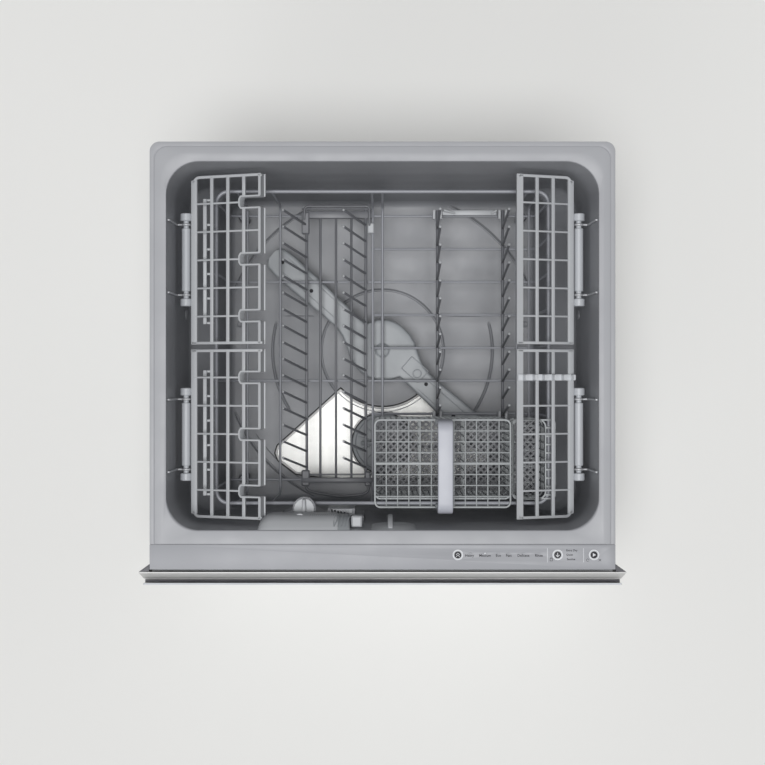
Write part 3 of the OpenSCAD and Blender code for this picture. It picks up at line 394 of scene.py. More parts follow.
def zinc(nodes, colour, rough):
    """Zinc-coated sheet: irregular crystal patches of tone and gloss."""
    patch = nodes.new("ShaderNodeTexVoronoi", Vector=nodes.place(), Scale=140.0).outputs["Color"]
    grey = nodes.new("ShaderNodeRGBToBW", Color=patch).outputs["Val"]
    nodes.set("Base Color", nodes.blend(grey, shade(colour, 0.86), shade(colour, 1.08)))
    nodes.set("Roughness", nodes.span(grey, rough - 0.08, rough + 0.1, 0.0, 1.0))
    nodes.set("Metallic", 0.75)
    nodes.bump(nodes.noise(60, 4), 0.05, 0.0006)


def felt(nodes, colour, rough):
    """Matted fibres: two crossed fine noises."""
    fibre = nodes.noise(900, 6, (1, 3, 1))
    nodes.set("Base Color", nodes.blend(fibre, shade(colour, 0.6), shade(colour, 1.7)))
    nodes.set("Roughness", rough)
    nodes.bump(fibre, 0.6, 0.002)


def perforated(nodes, colour, rough, pitch=0.0016):
    """Perforated steel: dark round holes at the points of a square lattice of that pitch, on brushed sheet."""
    cells = nodes.place((1 / pitch, 1 / pitch, 1 / pitch))
    folded = nodes.new("ShaderNodeVectorMath", {"operation": "FRACTION"}, i0=cells).outputs["Vector"]
    centred = nodes.new("ShaderNodeVectorMath", {"operation": "SUBTRACT"}, i0=folded, i1=(0.5, 0.5, 0.5))
    flat = nodes.new("ShaderNodeVectorMath", {"operation": "MULTIPLY"}, i0=centred.outputs["Vector"], i1=(1, 1, 0))
    away = nodes.new("ShaderNodeVectorMath", {"operation": "LENGTH"}, i0=flat.outputs["Vector"]).outputs["Value"]
    metal = nodes.span(away, 0.0, 1.0, 0.2, 0.34)
    nodes.set("Base Color", nodes.blend(metal, shade(colour, 0.6), colour))
    nodes.set("Roughness", nodes.span(metal, 0.9, rough, 0.0, 1.0))
    nodes.set("Metallic", 0.55)
    nodes.bump(metal, 0.5, 0.0004)


# Kind of finish, name of its colour among the settings, roughness
FINISHES = {
    "tub_grey": (moulded, "tub", 0.42),
    "fascia_grey": (plastic, "fascia", 0.45),
    "stainless": (satin, "stainless", 0.5),
    "filter_steel": (perforated, "filter_steel", 0.4),
    "galvanised": (zinc, "zinc", 0.5),
    "runner_steel": (brushed, "runner", 0.36),
    "dark_cap": (plastic, "dark_cap", 0.5),
    "felt": (felt, "felt", 0.95),
    "board_green": (plastic, "board", 0.3),
    "light_plastic": (plastic, "light", 0.3),
    "button_black": (plastic, "button", 0.72),
    "rubber_black": (plastic, "rubber", 0.75),
    "pump_black": (plastic, "pump", 0.5),
    "heater_metal": (brushed, "heater", 0.4),
    "shaft_steel": (brushed, "shaft", 0.3),
    "pale_plastic": (plastic, "pale", 0.45),
    "arm_grey": (plastic, "arm", 0.4),
    "filter_grey": (plastic, "filter_grey", 0.5),
    "wire_grey": (plastic, "wire", 0.36),
    "insert_grey": (plastic, "insert", 0.42),
    "rack_plastic": (plastic, "rack", 0.42),
    "basket_grey": (plastic, "basket", 0.45),
    "handle_lavender": (plastic, "handle", 0.38),
    "hinge_silver": (plastic, "hinge", 0.36),
    "wire_steel": (satin, "hook", 0.4),
}


def finish(slot):
    """The material of that slot, made once."""
    name = slot + "_finish"
    if name not in bpy.data.materials:
        kind, colour, rough = FINISHES[slot]
        material = bpy.data.materials.new(name)
        material.use_nodes = True
        kind(Nodes(material), tuple(getattr(bpy.context.scene.drawer_colours, colour)), rough)
    return bpy.data.materials[name]


# ---- settings ----


def length(name, description, default, low, high):
    """A setting in metres."""
    return bpy.props.FloatProperty(
        name=name, description=description, default=default, min=low, max=high, unit="LENGTH", precision=4
    )


def angle(name, description, default, low, high):
    """A setting in radians, shown in degrees."""
    return bpy.props.FloatProperty(
        name=name, description=description, default=default, min=low, max=high, subtype="ANGLE"
    )


def light_strength(name, description, default, high):
    """A setting without a unit."""
    return bpy.props.FloatProperty(name=name, description=description, default=default, min=0, max=high)


def colour(name, description, default):
    """A setting that is a colour."""
    return bpy.props.FloatVectorProperty(
        name=name, description=description, default=default, size=3, min=0, max=1, subtype="COLOR"
    )


class DrawerColours(bpy.types.PropertyGroup):
    """Colours of the drawer's finishes and of the room."""

    tub: colour("Tub", "Moulded tub and rim", (0.37, 0.378, 0.402))
    fascia: colour("Fascia", "Strip with the buttons", (0.37, 0.378, 0.405))
    stainless: colour("Stainless", "Door edge and front skin", (0.6, 0.6, 0.595))
    filter_steel: colour("Filter steel", "Perforated filter plate", (0.74, 0.74, 0.72))
    zinc: colour("Zinc", "Base pan, brackets and frame", (0.42, 0.43, 0.44))
    runner: colour("Runners", "Telescopic runner members", (0.6, 0.61, 0.62))
    dark_cap: colour("End caps", "Ends of the door edge", (0.07, 0.07, 0.08))
    felt: colour("Felt", "Door's insulation", (0.1, 0.095, 0.09))
    board: colour("Board", "Control board", (0.02, 0.14, 0.05))
    light: colour("Light pipes", "Button rings and indicator lights", (0.64, 0.66, 0.69))
    button: colour("Buttons", "Push buttons", (0.022, 0.022, 0.026))
    rubber: colour("Rubber", "Tub supports", (0.03, 0.03, 0.03))
    pump: colour("Pump", "Sump, motor, pump and pipes", (0.05, 0.05, 0.055))
    heater: colour("Heater", "Heating tube", (0.35, 0.33, 0.3))
    shaft: colour("Shaft", "Motor shaft", (0.45, 0.44, 0.43))
    pale: colour("Impeller", "Natural plastic", (0.6, 0.61, 0.6))
    arm: colour("Spray arm", "Spray arm and hub", (0.3, 0.318, 0.335))
    filter_grey: colour("Drain filter", "Drain filter", (0.25, 0.265, 0.28))
    wire: colour("Wires", "Coated rack wires", (0.3, 0.31, 0.34))
    insert: colour("Tine inserts", "Tine rows and their bars", (0.16, 0.165, 0.18))
    rack: colour("Cup racks", "Cup racks and clips", (0.48, 0.495, 0.515))
    basket: colour("Baskets", "Cutlery and side baskets", (0.37, 0.39, 0.4))
    handle: colour("Handle", "Basket handle", (0.47, 0.485, 0.54))
    hinge: colour("Hinge bars", "Hinge bars of the cup racks", (0.5, 0.52, 0.55))
    hook: colour("Hooks", "Wire hooks of the hinge bars", (0.5, 0.51, 0.53))
    floor: colour("Floor", "Floor and backdrop of the room", (0.85, 0.85, 0.835))


class StageSettings(bpy.types.PropertyGroup):
    """Camera and lights."""

    camera_height: length("Camera height", "Height of the camera above the tub's rim", 1.75, 1.0, 4.0)
    camera_y: length("Camera shift", "Distance of the camera in front of the mouth's middle", 0.0451, -0.2, 0.2)
    lens: bpy.props.FloatProperty(
        name="Lens", description="Focal length of the camera", default=67.06, min=20, max=200,
        subtype="DISTANCE_CAMERA",
    )
    sun: light_strength("Soft light", "Strength of the soft overhead light", 2.2, 6)
    spread: angle("Softness", "Angle over which the overhead light comes", 0.55, 0, 2)
    room: light_strength("Room light", "Strength of the even light of the room", 0.14, 2)


class TubSettings(bpy.types.PropertyGroup):
    """Sizes of the tub that its solid also has."""

    mouth_half: length("Mouth", "Half the width of the mouth", 0.2657, 0.26, 0.27)
    rim_half: length("Rim", "Half the width over the rim", 0.2861, 0.28, 0.29)
    depth: length("Depth", "Depth of the floor below the rim", 0.29, 0.28, 0.294)
    edge_round: length("Edge", "Rounding of the mouth's edge", 0.0045, 0.001, 0.008)
    floor_round: length("Floor edge", "Rounding between the floor and the walls", 0.016, 0.004, 0.03)


class RackSettings(bpy.types.PropertyGroup):
    """Sizes of the wires and tines."""

    wire_radius: length("Wire", "Radius of the rack's wires", 0.0017, 0.001, 0.002)
    rim_radius: length("Rim wire", "Radius of the rim wire", 0.0024, 0.0015, 0.003)
    foot_bend: length("Bend", "Size of the bend where a wire turns up", 0.014, 0.002, 0.03)
    tine_radius: length("Tine", "Radius of a tine", 0.0017, 0.001, 0.002)


class CupRackSettings(bpy.types.PropertyGroup):
    """Sizes of the folding cup racks."""

    hinge_x: length("Hinge", "Distance of the hinge bars from the middle", 0.25, 0.249, 0.251)
    hinge_depth: length("Hinge depth", "Depth of the hinge bars below the rim", 0.066, 0.06, 0.067)
    slope: angle("Slope", "Slope of the racks at rest", math.radians(19.5), 0.2, 0.4)
    bar_width: length("Bars", "Width of the lengthwise bars", 0.0044, 0.003, 0.006)


class BasketSettings(bpy.types.PropertyGroup):
    """Sizes of the baskets' lattices."""

    wall_pitch: length("Wall pitch", "Distance between the bars of the cutlery basket's walls", 0.0075, 0.005, 0.02)
    mesh_pitch: length("Floor pitch", "Distance between the strands of the basket's diamond floor", 0.0062, 0.004, 0.02)
    side_pitch: length("Side basket pitch", "Distance between the side basket's bars", 0.0107, 0.006, 0.02)


SETTINGS = {
    "drawer_colours": DrawerColours,
    "drawer_stage": StageSettings,
    "drawer_tub": TubSettings,
    "drawer_rack": RackSettings,
    "drawer_cup_racks": CupRackSettings,
    "drawer_baskets": BasketSettings,
}


def sizes(group, *names):
    """Settings of one group in millimetres."""
    values = [getattr(getattr(bpy.context.scene, group), name) / MM for name in names]
    return values if len(values) > 1 else values[0]


# ---- tub ----

# Depth, half width, half length and corner radius of the tub's inside, from the mouth down
WALLS = ((0, 265.7, 226.3, 41), (170, 260.7, 218.68, 32), (195, 222.7, 217.56, 30), (290, 218.7, 213.3, 30))
TUB_WALL = 3.0
RIM_FRONT, RIM_BACK = 244.0, 250.9
# How far in from the rim's edge, back corner radius and height of the rim's flat and its seal groove
SEAL_GROOVE = ((14.2, 30, 0), (6.4, 16, -0.3), (5.7, 15, -0.8), (5.0, 14, -0.3))
# How far in and height of the skirt that hangs from the rim
SKIRT = ((0, -0.3), (0, -14), (2.5, -14), (2.5, -3.5))
DRAIN_Y = -131.5
HUB_RING_R, FLOW_RIB_R, BOW_R = 87, 157.2, 230
FLOOR_STUD = [[4.6, -0.4], [4.6, 0.8], [3.9, 1.3], [2.6, 0.7], [0, 0.6]]
WALL_STUD = [[7, -1.2], [6.6, 0.6], [5.6, 1.2], [4.6, 0.5], [0, 0.4]]
WINDOW_FRAME = (
    ((-155, -228, -140), (-149, -217, -54)), ((-30, -228, -140), (-24, -217, -54)),
    ((-154, -228, -60), (-25, -217, -54)), ((-154, -228, -140), (-25, -217, -134)),
)


def tub_levels():
    """The tub's levels as rounded_levels takes them, from the inside of its floor up, over the rim and down the
    outside."""
    half, rim_half, depth, edge, floor_edge = sizes(
        "drawer_tub", "mouth_half", "rim_half", "depth", "edge_round", "floor_round"
    )
    levels = [((2, 2, 2, 1, 1, -depth), 0)]
    for d, x, y, r in WALLS[::-1]:
        x, d = (half, 0) if d == 0 else (x, depth if d == WALLS[-1][0] else d)
        levels.append(((x, y, y, r, r, -d), {0: edge, depth: floor_edge}.get(d, 7)))
    for drawn_in, back_r, z in SEAL_GROOVE:
        front = RIM_FRONT - 0.2 - drawn_in * 0.05
        levels.append(((rim_half - drawn_in, front, RIM_BACK - drawn_in, 1.5, back_r, z), 0.5))
    for drawn_in, z in SKIRT:
        row = (rim_half - drawn_in, RIM_FRONT - drawn_in, RIM_BACK - drawn_in, 1.5, 12 - drawn_in, z)
        levels.append((row, 0.6 if z > -1 else 0.5))
    for d, x, y, r in WALLS:
        down = 3.5 if d == 0 else d + TUB_WALL
        row = (x + TUB_WALL, y + TUB_WALL, y + TUB_WALL, r + TUB_WALL, r + TUB_WALL, -down)
        levels.append((row, 1 if d == 0 else 8))
    levels.append(((2, 2, 2, 1, 1, -depth - TUB_WALL), 0))
    rows, cuts = zip(*levels)
    return bend(rows, cuts, 4)


def rounded_levels(levels, steps=12):
    """Each level is (half width, front, back, front radius, back radius, height): a rectangle whose corners are quarter
    circles, middle of the corner + r (cos a, sin a), a over one right angle a corner."""
    x, front, back, front_r, back_r, z = (c[:, None] for c in np.asarray(levels, float).T)
    a = np.linspace(0, math.pi / 2, steps)[None]
    cos, sin = np.cos(a), np.sin(a)
    corners = [
        (x - back_r + back_r * cos, back - back_r + back_r * sin),
        (-(x - back_r) - back_r * sin, back - back_r + back_r * cos),
        (-(x - front_r) - front_r * cos, -(front - front_r) - front_r * sin),
        (x - front_r + front_r * sin, -(front - front_r) - front_r * cos),
    ]
    px = np.concatenate([c[0] for c in corners], 1)
    py = np.concatenate([c[1] for c in corners], 1)
    return np.stack([px, py, np.broadcast_to(z, px.shape)], -1)


def ridge(shell, path, w, h, closed=False):
    """A low rounded rib on a surface: half an ellipse, w wide and h high, carried along the path; it fades out at open
    ends."""
    a = np.linspace(0, math.pi, 9)
    arch = np.stack([h * np.sin(a), w / 2 * np.cos(a)], -1)
    profile = np.concatenate([arch, [[-RIB_FOOT, -w / 2], [-RIB_FOOT, w / 2]]])
    path = np.asarray(path, float)
    k = np.arange(len(path))
    size = None if closed else np.clip(np.minimum(k, k[::-1]) / 3 + 0.25, 0, 1)
    shell.grid(carry(path, profile, closed=closed, size=size, across=(0, 0, 1)), closed=closed)


def arc(r, start, end, z, steps=40, centre=(0, 0)):
    """r (cos a, sin a) about a centre at one height, a in degrees from start to end."""
    a = np.radians(np.linspace(start, end, steps))
    return np.stack([centre[0] + r * np.cos(a), centre[1] + r * np.sin(a), np.full(steps, z)], -1)


def line(p, q, steps=8):
    """Equal steps from p to q."""
    return np.linspace(np.asarray(p, float), np.asarray(q, float), steps)


def block(shell, low, high, soft=1.0):
    """A block between two corners with softened edges: an oblong carried up, its ends drawn in."""
    low, high = np.asarray(low, float), np.asarray(high, float)
    size = high - low
    outline = oblong(size[0], size[1], min(soft, size[0] / 3, size[1] / 3)) + ((low + high) / 2)[:2]
    slab(shell, outline, low[2], high[2], min(soft, size[2] / 3))


def cut_through(piece, *cutters):
    """Cuts each cutter's closed shape out of a piece with one exact Boolean apiece, and leaves no modifier."""
    for shell in cutters:
        mesh = bpy.data.meshes.new("cutter")
        cut = bpy.data.objects.new("cutter", mesh)
        bpy.context.scene.collection.objects.link(cut)
        points = at_rim(np.concatenate(shell.points))
        mesh.from_pydata(points.tolist(), [], [face for faces in shell.faces for face in faces.tolist()])
        merge_and_turn(mesh)
        tool = piece.modifiers.new("openings", "BOOLEAN")
        tool.object, tool.operation, tool.solver = cut, "DIFFERENCE", "EXACT"
        done = bpy.data.meshes.new_from_object(piece.evaluated_get(bpy.context.evaluated_depsgraph_get()))
        piece.modifiers.clear()
        piece.data = done
        bpy.data.objects.remove(cut)
        if not done.polygons:
            raise RuntimeError(piece.name + " came out of its Boolean empty")


class MakeTub(bpy.types.Operator):
    """Makes the moulded tub with its rim, groove, floor ribs and openings"""

    bl_idname = "drawer.make_tub"
    bl_label = "Make tub"

    def execute(self, context):
        floor = -sizes("drawer_tub", "depth")
        basin = Shell()
        basin.grid(rounded_levels(tub_levels()))
        tub = dress("tub_shell", basin, DRAWER, "tub_grey", "tub")
        hub_hole, drain_hole, sump_mouth, window = (Shell() for _ in range(4))
        lathe(hub_hole, [[20.3, -8], [20.3, 8]], (0, 0, floor), sides=48)
        lathe(drain_hole, [[44, -8], [44, 8]], (0, DRAIN_Y, floor), sides=48)
        block(sump_mouth, (-90, DRAIN_Y - 20, floor - 8), (90, DRAIN_Y + 26, floor + 8), 0.5)
        block(window, (-149, -240, -134), (-30, -205, -60), 0.5)
        cut_through(tub, hub_hole, drain_hole, sump_mouth, window)
        tub.data.shade_smooth()
        tub.data.set_sharp_from_angle(angle=math.radians(38))
        # Painted shade: thin ridges in the dark insert grey at the feet of the floor's ribs, beside the hub ring and
        # along the corner bows, where ribs and grooves cast shade.
        relief, painted_shade_lines = Shell(), Shell()
        ridge(relief, arc(HUB_RING_R, 0, 354, floor, 60), 3.2, 1.4, closed=True)
        for start, end in ((164.5, 213.5), (-33.5, 15.5)):
            ridge(relief, arc(FLOW_RIB_R, start, end, floor), 3.0, 2.4)
            for side in (-1.8, 1.8):
                ridge(painted_shade_lines, arc(FLOW_RIB_R + side, start, end, floor), 1.3, 0.5)
        ridge(painted_shade_lines, arc(HUB_RING_R + 2.2, 0, 354, floor, 60), 1.3, 0.5, closed=True)
        for turn in (45, 135, 225, 315):
            ridge(painted_shade_lines, arc(BOW_R, turn - 25, turn + 25, floor + 0.2), 2.0, 0.9)
            ridge(relief, arc(BOW_R - 2.4, turn - 25, turn + 25, floor), 2.6, 1.0)
        ridge(painted_shade_lines, arc(216.5, 213, 237, floor), 1.6, 0.7)
        dress("floor_creases", painted_shade_lines, DRAWER, "insert_grey")
        for s in (-1, 1):
            ridge(relief, line((s * 96, 50, floor), (s * 142, 50, floor), 14), 2.2, 1.2)
            lathe(relief, FLOOR_STUD, (s * 204, 38, floor), sides=24)
            for y, z in ((125, -150), (45, -148)):
                lathe(relief, WALL_STUD, (s * 261, y, z), axis=(-s, 0, 0.03), sides=28)
        for low, high in WINDOW_FRAME:
            block(relief, low, high, 2)
        dress("tub_relief", relief, DRAWER, "tub_grey")
        return {"FINISHED"}


# ---- fascia and door edge ----

# Programme words stand on one line, option words one below the other
PROGRAMMES = (
    ("Heavy", 107.0), ("Medium", 125.9), ("Eco", 142.4), ("Fast", 155.2), ("Delicate", 173.1), ("Rinse", 192.1)
)
OPTIONS = (("Extra Dry", 232.6, -252.4), ("Quiet", 229.8, -257.8), ("Sanitise", 231.6, -263.2))
PROGRAMME_Y = -259.0
PROGRAMME_HEIGHT, OPTION_HEIGHT = 3.1, 2.4
CAPITAL = 0.7
PRINT_Z, SIGN_Z = 0.03, 0.2

# A padlock in two parts, a ring and a cross: points and line width
SMALL_SIGNS = (
    ([(205.8, -264.2), (205.8, -261.6), (208.8, -261.6), (208.8, -264.2), (205.8, -264.2)], 0.6),
    ([(206.4, -261.6), (206.4, -260.2), (208.2, -260.2), (208.2, -261.6)], 0.5),
    (circle(1.5, 13) + [252.0, -263.2], 0.45),
    ([(265.4, -264.6), (268.6, -261.8)], 0.5),
    ([(265.4, -261.8), (268.6, -264.6)], 0.5),
)

# Number of the light that is on, whose glow is painted as a pale light pipe
LIT = 1
LIGHT_XS = (108.1, 125.9, 142.4, 155.3, 173.1, 192.2)
LIGHT_Y = -255.1
LIGHT_PIPE = [[0, -13], [1.2, -13], [1.2, 0.02], [0.9, 0.1], [0, 0.12]]

BUTTON_XS = {"cycle": 92.6, "option": 215.1, "start": 259.8}
BUTTON_Y = -256.8
BUTTON_TOP = [[2, -13.2], [2, -3], [5.2, -3], [5.2, -0.5], [4.3, -0.4], [4.3, 0.1], [3.4, 0.08], [0, 0.0]]
BUTTON_EDGE = [[5.2, -0.45], [5.2, 0.1], [4.9, 0.28], [4.6, 0.28], [4.35, 0.1], [4.35, -0.45]]


def letters(shell, word, x, y, height):
    """A word as flat letters whose capitals have that height, 0.04 mm thick, its middle at x and its foot at y."""
    curve = bpy.data.curves.new("word", "FONT")
    curve.body, curve.extrude, curve.resolution_u, curve.offset = word, LETTER_HALF, 3, 0.018
    holder = bpy.data.objects.new("word", curve)
    bpy.context.scene.collection.objects.link(holder)
    bpy.context.view_layer.update()
    mesh = bpy.data.meshes.new_from_object(holder.evaluated_get(bpy.context.evaluated_depsgraph_get()))
    points = np.empty(len(mesh.vertices) * 3)
    mesh.vertices.foreach_get("co", points)
    points = points.reshape(-1, 3)
    mesh.calc_loop_triangles()
    faces = np.empty(len(mesh.loop_triangles) * 3, int)
    mesh.loop_triangles.foreach_get("vertices", faces)
    middle = (points.min(0) + points.max(0)) / 2 * [1, 0, 1]
    scale = height / CAPITAL
    points = (points - middle) * [scale, scale, 1] + [x, y, LETTER_HALF]
    shell.add(points, faces.reshape(-1, 3))
    bpy.data.objects.remove(holder)
    bpy.data.meshes.remove(mesh)


def strokes(shell, points, w, z, h=0.06):
    """A line of width w drawn flat at height z."""
    path = np.column_stack([np.asarray(points, float), np.full(len(points), z)])
    shell.grid(carry(path, oblong(h, w, 0.02, 1), across=(0, 0, 1)))


def button_sign(shell, button, x, y):
    """Two chevrons on the cycle button, an arrow down on the option button and a triangle on the start button."""
    if button == "cycle":
        for up in (-1.1, 1.3):
            strokes(shell, [(x - 2.1, y + up - 1.1), (x, y + up + 1.0), (x + 2.1, y + up - 1.1)], 0.7, SIGN_Z)
    elif button == "option":
        strokes(shell, [(x, y + 2.6), (x, y - 1.8)], 0.8, SIGN_Z)
        strokes(shell, [(x - 2.2, y - 0.1), (x, y - 2.5), (x + 2.2, y - 0.1)], 0.8, SIGN_Z)
    else:
        slab(shell, [(x - 1.5, y - 2.3), (x + 2.4, y), (x - 1.5, y + 2.3)], 0.12, 0.26, 0.05)


class MakeFascia(bpy.types.Operator):
    """Softens the fascia and prints its words, lines and button signs"""

    bl_idname = "drawer.make_fascia"
    bl_label = "Make fascia"

    def execute(self, context):
        soften("fascia", 0.25)
        dark, pale = Shell(), Shell()
        for word, x in PROGRAMMES:
            letters(dark, word, x, PROGRAMME_Y, PROGRAMME_HEIGHT)
        for word, x, y in OPTIONS:
            letters(dark, word, x, y, OPTION_HEIGHT)
        for points, w in SMALL_SIGNS:
            strokes(dark, points, w, PRINT_Z)
        dress("fascia_print", dark, DRAWER, "button_black")
        unlit, lit = Shell(), Shell()
        for k, x in enumerate(LIGHT_XS):
            lathe(lit if k == LIT else unlit, LIGHT_PIPE, (x, LIGHT_Y, 0), sides=20)
        dress("lights_unlit", unlit, DRAWER, "fascia_grey", "indicator_lights")
        # Painted light: the pipe of the light that is on takes the pale finish in place of its glow.
        dress("light_lit", lit, DRAWER, "light_plastic")
        for x in (202.5, 246.9):
            strokes(pale, [(x, -248.6), (x, -266.0)], 0.55, PRINT_Z)
        dress("fascia_lines", pale, DRAWER, "light_plastic")
        for button, x in BUTTON_XS.items():
            body = button + "_button"
            top, edge, sign = Shell(), Shell(), Shell()
            lathe(top, BUTTON_TOP, (x, BUTTON_Y, 0), sides=48)
            lathe(edge, BUTTON_EDGE, (x, BUTTON_Y, 0), sides=48)
            button_sign(sign, button, x, BUTTON_Y)
            dress(button + "_edge", edge, body, "light_plastic", sharp=50)
            dress(button + "_cap", top, body, "button_black", body, sharp=50)
            dress(button + "_sign", sign, body, "light_plastic")
        return {"FINISHED"}


# Half the width of the pocket behind the lip
POCKET_HALF = 298.8
SOFT_DOOR = {"door_edge_trim": 0.35, "door_end_caps": 0.6, "front_panel": 0.3, "panel_frame": 0.5}


class MakeDoor(bpy.types.Operator):
    """Softens the door edge, the front skin and the folded metal behind it"""

    bl_idname = "drawer.make_door"
    bl_label = "Make door"

    def execute(self, context):
        for node, width in SOFT_DOOR.items():
            soften(node, width)
        # Painted shadow: a dark strip on the floor of the pocket behind the lip, where the front skin shades it.
        painted_shadow, hem = Shell(), Shell()
        block(painted_shadow, (-POCKET_HALF, -296.6, -46.0), (POCKET_HALF, -292.8, -45.2), 0.2)
        dress("pocket_lining", painted_shadow, DRAWER, "dark_cap")
        block(hem, (-POCKET_HALF, -297.9, -31.6), (POCKET_HALF, -295.6, -29.9), 0.3)
        dress("skin_hem", hem, DRAWER, "hinge_silver")
        return {"FINISHED"}


# ---- cup racks ----

# Along the wall a rack runs from v = 0 to its length, and from its hinge at u = 0 to its reach
CUP_LENGTH = 214.0
CUP_START = 3.0
LEFT_REACH, RIGHT_REACH = 107.5, 87.0
RAIL_U = 7.55
BAR_US = (34.2, 56.6, 78.6)
NOTCH_HALF = 7.2

# Profiles of (height, distance): a flat rim, a thin one with a skirt, and the wall round a stem notch
FLAT_RIM = np.array([(-2, -8.8), (-2, -0.6), (1.5, 0), (2, -0.5), (2, -8.3), (1.5, -8.8)])
SKIRTED_RIM = np.array(
    [(2, -3.4), (2, -6.3), (1.6, -6.6), (-11.7, -6.6), (-11.7, -2.2), (-10.5, -2.2), (-10.1, -3.6), (1.6, -3.1)]
)
NOTCH_WALL = np.array([(2.2, -0.9), (2.2, 0.9), (1.7, 1.2), (-10.8, 1.2), (-10.8, -1.2), (1.7, -1.2)])

# Points of a notch's wall: distance from the rack's rim and from the notch's middle
NOTCH_LINE = ((4, -7.4), (30.6, -7.4), (32.8, -3.8), (32.8, 3.8), (30.6, 7.4), (4, 7.4))

# Radius and place of a hinge bar's collars and barrel, up to its middle at v = 108
HALF_ROD = np.array(
    [[0, 49], [6.6, 49], [7.5, 49.9], [7.5, 57.7], [6.6, 58.6], [3.5, 58.6], [3.5, 68], [5.1, 68], [5.75, 68.7]]
)
ROD = np.concatenate([HALF_ROD, ([0, 216] + HALF_ROD * [1, -1])[::-1]])
HOOK_VS = (63.3, 152.7)
HOOK_LOOP_R, HOOK_WIRE_R = 5.06, 1.45
CLIP_TEETH, CLIP_PITCH = 6, 13.4


def at_hinge(points, right, front):
    """A flat rack's (u, v, w) on its hinge: x = -hinge + u cos(slope) - w sin(slope), y = start + v, z = hinge level +
    u sin(slope) + w cos(slope), mirrored for the right and the front."""
    hinge, depth = sizes("drawer_cup_racks", "hinge_x", "hinge_depth")
    slope = bpy.context.scene.drawer_cup_racks.slope
    u, v, w = points[..., 0], points[..., 1], points[..., 2]
    x = -hinge + u * math.cos(slope) - w * math.sin(slope)
    z = -depth + u * math.sin(slope) + w * math.cos(slope)
    return np.stack([-x if right else x, (-1 if front else 1) * (CUP_START + v), z], -1)


def cup_rack(reach, notched):
    """One rack lying flat: rail with its tapered side plate, end bars, lengthwise bars, wires across and, round each
    stem notch, a wall that ends at the rim. A rack with notches has a rim with a skirt."""
    shell = Shell()
    last = CUP_LENGTH - 2
    middles = [CUP_LENGTH / 6 * k for k in (1, 3, 5)] if notched else []
    bar(shell, flat([[RAIL_U + 4.1, v] for v in (0.2, 60, 150, 208.5)]), 8.2, 4, 0.9)
    far_end = bend([[RAIL_U + 2.2, 205], [RAIL_U + 8, last], [reach - 5, last], [reach - 2.4, 210]], 3, 3)
    bar(shell, flat(far_end), 3.6, 4, 0.8)
    outline = np.array([[3, 0], [47, 1], [169, 1], [209, 0]], float)
    plate = np.column_stack([7.9 - 5.4 * outline[:, 1], outline[:, 0], -1.2 - 7 * outline[:, 1]])
    shell.grid(np.stack([plate, plate + [1.3, 0, -1.0]]))
    bar(shell, flat([[RAIL_U, 1.9], [reach - 1, 1.9]]), 3.6, 4, 0.8)
    stops = [v + side for v in middles for side in (-NOTCH_HALF, NOTCH_HALF)]
    edges = np.array([0.3, *stops, CUP_LENGTH - 0.3]).reshape(-1, 2)
    for v0, v1 in edges:
        shell.grid(carry(flat([[reach, v0], [reach, v1]]), SKIRTED_RIM if notched else FLAT_RIM, across=(0, 0, 1)))
    width = sizes("drawer_cup_racks", "bar_width")
    for u in BAR_US:
        if u < reach - 12:
            for v0, v1 in edges if notched and u > reach - 34 else [(2, last)]:
                bar(shell, flat([[u + 2.2, max(v0, 2)], [u + 2.2, min(v1, last)]]), width, 4, 0.8)
    for v in middles:
        wall = bend([[reach - back, v + side] for back, side in NOTCH_LINE], 0.5, 2)
        shell.grid(carry(flat(wall), NOTCH_WALL, across=(0, 0, 1)))
    for k in range(1, 6):
        v = CUP_LENGTH / 6 * k
        end = reach - 33 if notched and k % 2 else reach - 4
        wire(shell, flat([[RAIL_U + 3, v], [end, v]], 0.8), 1.3, 8)
    return shell


class MakeCupRacks(bpy.types.Operator):
    """Makes the four folding cup racks with their hinge bars, the wire hooks and the comb clip"""

    bl_idname = "drawer.make_cup_racks"
    bl_label = "Make cup racks"

    def execute(self, context):
        hooks = Shell()
        hinge, depth = sizes("drawer_cup_racks", "hinge_x", "hinge_depth")
        for right, front in ((False, False), (False, True), (True, False), (True, True)):
            place = ("front" if front else "back") + ("_right" if right else "_left")
            body = "cup_rack_" + place
            placed = partial(at_hinge, right=right, front=front)
            rack = cup_rack(RIGHT_REACH if right else LEFT_REACH, not right)
            dress(body + "_frame", rack.turned(placed), body, "rack_plastic", body)
            rod = Shell()
            lathe(rod, ROD, (0, 0, 0), axis=(0, 1, 0), sides=36)
            dress("hinge_rod_" + place, rod.turned(placed), body, "hinge_silver", "hinge_bar_" + place)
            s, t = (1 if right else -1), (-1 if front else 1)
            for v in HOOK_VS:
                wire(hooks, hook_path() * [s, 1, 1] + [s * hinge, t * (CUP_START + v), -depth], HOOK_WIRE_R, 10)
        dress("hook_wires", hooks, DRAWER, "wire_steel", "rack_hooks")
        clip = Shell()
        v = CUP_LENGTH / 6
        bar(clip, flat([[RAIL_U, v], [RIGHT_REACH - 0.5, v]], 3.25), 8, 2.4, 0.7)
        for k in range(CLIP_TEETH):
            u = RAIL_U + 4.5 + k * CLIP_PITCH
            bar(clip, [[u, v, 3.4], [u, v, 7], [u, v, 12.8]], 3.0, 7.4, 0.9, across=(0, 1, 0))
        clip = clip.turned(partial(at_hinge, right=True, front=True))
        dress("comb_clip", clip, "cup_rack_front_right", "light_plastic", "utensil_clip")
        return {"FINISHED"}


